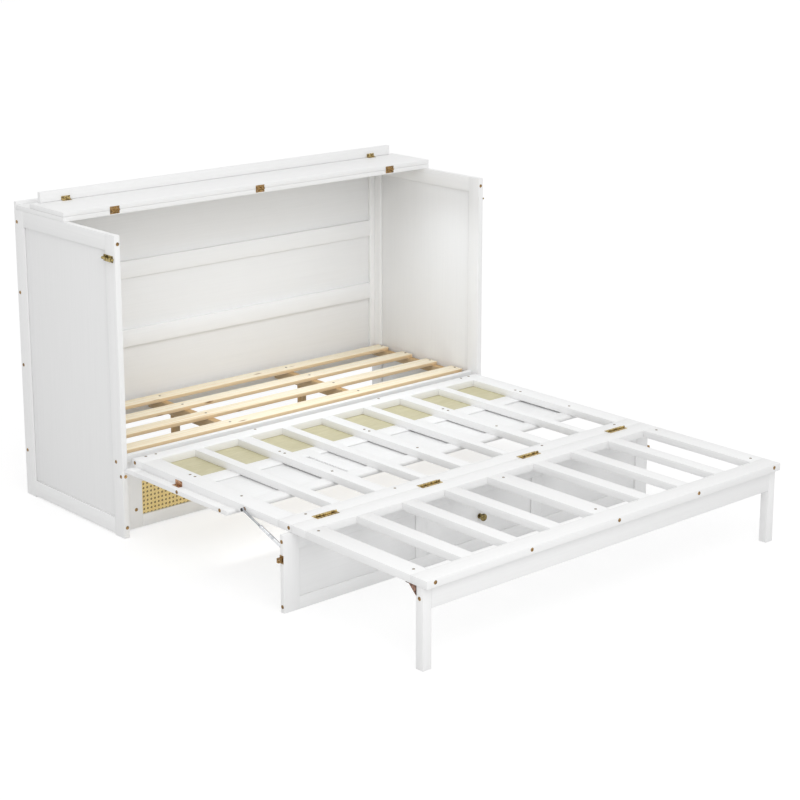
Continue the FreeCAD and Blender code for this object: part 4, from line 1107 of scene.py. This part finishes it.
# %% Set the screws
screw_sets = (
    (board_screw, "deck_screws", "cabinet", both_sides(deck_places)),
    (board_screw, "back_screws", "cabinet", both_sides(back_places)),
    (board_screw, "middle_bar_screws", "middle", bar_places),
    (board_screw, "foot_bar_screws", "foot", foot_places),
    (hinge_screw, "cabinet_screws", "cabinet", both_sides(cabinet_screws)),
    (hinge_screw, "flap_screws", "flap", both_sides(flap_screws)),
    (hinge_screw, "lip_screws", "lip", both_sides(lip_screws)),
    (hinge_screw, "middle_screws", "middle", both_sides(middle_screws)),
    (hinge_screw, "leg_panel_screws", "leg_panel", both_sides(panel_screws)),
    (hinge_screw, "foot_screws", "foot", both_sides(foot_screws)),
    (hinge_screw, "leg_screws", "leg_frame", both_sides(leg_screws)),
)
screws_set = 0
for head, name, body, places in screw_sets:
    screws_set += set_heads(head, places, name, body, screw_metal)
angle_places = both_sides([("up", 28.0, 896.0, 253.5)])
screws_set += set_heads(board_screw, angle_places, "angle_screws", "middle", brass_metal)
print("screws:", screws_set)

# %% [markdown]
# ## Ends of the gas struts
# Each strut has a blackened washer on its upper socket and a bright collar where the rod enters the
# tube. The collar is an open cylinder given a wall by Solidify, so the rod still slides through it.

# %% Washers and collars
STRUT_TOP = (28.25, 1250.0, 266.0)
STRUT_FOOT = (28.25, 1452.0, 196.0)
SOCKET_FACE = 24.35
WASHER_RADIUS = 5.6
WASHER_PROUD = 1.0
WASHER_SUNK = 0.4
COLLAR_REACH = 99.0
COLLAR_RADIUS = 6.4
COLLAR_LENGTH = 8.0
COLLAR_WALL = 2.4
COLLAR_RIM = 0.4
washer = flat_head("washer", WASHER_RADIUS, 24, WASHER_PROUD, WASHER_SUNK)
for side in ("left", "right"):
    top = spot(*STRUT_TOP)
    foot = spot(*STRUT_FOOT)
    face_x = SOCKET_FACE
    if side == "right":
        top.x = -top.x
        foot.x = -foot.x
        face_x = CABINET_WIDTH - SOCKET_FACE
    seat = (side, face_x) + STRUT_TOP[1:]
    set_heads(washer, [seat], f"{side}_strut_washer", f"{side}_rod", black_metal)
    along = (foot - top).normalized()
    bpy.ops.mesh.primitive_cylinder_add(
        vertices=32,
        radius=COLLAR_RADIUS * MM,
        depth=COLLAR_LENGTH * MM,
        end_fill_type="NOTHING",
    )
    collar = bpy.context.object
    collar.name = f"{side}_strut_collar"
    collar.location = top + along * COLLAR_REACH * MM
    collar.rotation_euler = along.to_track_quat("Z", "Y").to_euler()
    settle(collar)
    wall = collar.modifiers.new("wall", "SOLIDIFY")
    wall.thickness = COLLAR_WALL * MM
    wall.offset = -1.0
    rim = collar.modifiers.new("rim", "BEVEL")
    rim.width = COLLAR_RIM * MM
    rim.segments = 2
    rim.angle_limit = EASED_ANGLE
    apply_all(collar)
    bpy.ops.object.shade_smooth_by_angle(angle=SMOOTH_ANGLE)
    finish(collar, f"{side}_cylinder", steel_metal)
for pattern in (bolt, hinge_screw, board_screw, washer):
    bpy.data.objects.remove(pattern)
print("strut ends: 2 washers, 2 collars")

# %% [markdown]
# ## Floor
# The bed stands on a white floor. To the camera and in reflections the floor glows, so that it reaches
# white and keeps only a soft contact shadow. To all other rays it is plain white.

# %% Floor
FLOOR_SIZE = 40.0
FLOOR_WHITE = (0.78, 0.78, 0.78)
FLOOR_SEEN = (0.36, 0.36, 0.36)
FLOOR_GLOW = 0.68


def seen_directly(tree):
    """1 where a thing is seen, straight or in metal or glass, and 0 where it only lights others."""
    rays = tree.nodes.new("ShaderNodeLightPath")
    seen = rays.outputs["Is Camera Ray"]
    for label in ("Is Glossy Ray", "Is Transmission Ray"):
        either = tree.nodes.new("ShaderNodeMath")
        either.operation = "MAXIMUM"
        tree.links.new(seen, either.inputs[0])
        tree.links.new(rays.outputs[label], either.inputs[1])
        seen = either.outputs["Value"]
    return seen


bpy.ops.mesh.primitive_plane_add(size=FLOOR_SIZE)
floor = bpy.context.object
floor.name = "studio_floor"
ground = Finish("white_floor")
ground.shader.inputs["Roughness"].default_value = 0.8
ground.shader.inputs["Specular IOR Level"].default_value = 0.1
floor_seen = seen_directly(ground.material.node_tree)
ground_colour = ground.blend(floor_seen, FLOOR_WHITE, FLOOR_SEEN)
ground.join(ground_colour, ground.shader.inputs["Base Color"])
ground.shader.inputs["Emission Color"].default_value = (1.0, 1.0, 1.0, 1.0)
ground_glow = ground.span(floor_seen, 0.0, FLOOR_GLOW)
ground.join(ground_glow, ground.shader.inputs["Emission Strength"])
floor.data.materials.append(ground.material)
print("floor:", floor.name, FLOOR_SIZE, "m wide")

# %% [markdown]
# ## Sky
# An even white sky lights the bed from all round. It is a little weaker as light than it looks, so that
# the white boards keep their shape against the white behind them.

# %% Sky
SKY_LIGHT = 0.75
SKY_SEEN = 1.0
scene = bpy.context.scene
sky = bpy.data.worlds.new("white_sky")
scene.world = sky
sky.use_nodes = True
sky_tree = sky.node_tree
sky_light = sky_tree.nodes["Background"]
sky_light.inputs["Color"].default_value = (1.0, 1.0, 1.0, 1.0)
sky_strength = sky_tree.nodes.new("ShaderNodeMapRange")
sky_strength.inputs["To Min"].default_value = SKY_LIGHT
sky_strength.inputs["To Max"].default_value = SKY_SEEN
sky_tree.links.new(seen_directly(sky_tree), sky_strength.inputs["Value"])
sky_tree.links.new(sky_strength.outputs["Result"], sky_light.inputs["Strength"])
print("sky:", sky.name)

# %% [markdown]
# ## Lamps
# Two far lamps with wide discs, one above and one at the camera's side, light the bed without hard
# shadows. A large softbox beyond the foot end shines into the cabinet, and two weak ones, under the
# open top and under the bed, keep the inside and the base as pale as the outside. The one under the top
# is a trace blue, which takes back the warm light that the pine throws on the walls.

# %% Lamps


def add_lamp(kind, name, energy, place, aim=(0.0, 0.0, 0.0)):
    """A lamp that shines from a place towards a point."""
    turn = (Vector(place) - Vector(aim)).to_track_quat("Z", "Y").to_euler()
    bpy.ops.object.light_add(type=kind, location=place, rotation=turn)
    lamp = bpy.context.object
    lamp.name = name
    lamp.data.energy = energy
    return lamp.data


def soft_sun(name, place, strength, spread):
    """A far lamp with a wide disc for soft shadows."""
    add_lamp("SUN", name, strength, place).angle = math.radians(spread)


def soft_box(name, place, aim, energy, height, width):
    """A flat lamp, its height measured up its face."""
    lamp = add_lamp("AREA", name, energy, place, aim)
    lamp.shape = "RECTANGLE"
    lamp.size = width
    lamp.size_y = height
    return lamp


INSIDE_PLACE = (0.12, 0.56, 0.99)
INSIDE_AIM = (0.12, 0.56, 0.3)
soft_sun("overhead_lamp", (-0.2, -0.6, 4.0), strength=0.4, spread=70.0)
soft_sun("front_lamp", (-0.6, -1.0, 0.35), strength=0.22, spread=40.0)
soft_box("room_softbox", (-1.4, -2.6, 2.4), (0.3, 0.8, 0.6), energy=19.0, height=2.0, width=2.0)
inside = soft_box("cabinet_softbox", INSIDE_PLACE, INSIDE_AIM, energy=1.6, height=0.2, width=1.05)
inside.color = (0.9, 0.95, 1.0)
inside.spread = math.radians(148.0)
soft_box("base_softbox", (-0.1, -0.02, 0.11), (-0.1, 0.44, 0.12), energy=0.95, height=0.1, width=1.2)

# %% [markdown]
# ## Camera
# The camera stands to the left of the foot end, above the bed, with a long lens.

# %% Camera
CAMERA_PLACE = spot(-3324.72, 5772.84, 2274.58)
CAMERA_YAW = 0.7244
CAMERA_PITCH = 0.2371
FOCAL_PIXELS = 1917.40
IMAGE_PIXELS = 800.0
FRAME_SHIFT = -0.12
camera_turn = (math.pi / 2 - CAMERA_PITCH, 0.0, -CAMERA_YAW)
bpy.ops.object.camera_add(location=CAMERA_PLACE, rotation=camera_turn)
camera = bpy.context.object
camera.data.lens = FOCAL_PIXELS * camera.data.sensor_width / IMAGE_PIXELS
camera.data.shift_y = FRAME_SHIFT
scene.camera = camera
scene.view_settings.view_transform = "Standard"
print("camera lens:", round(camera.data.lens, 2), "mm")

# %% [markdown]
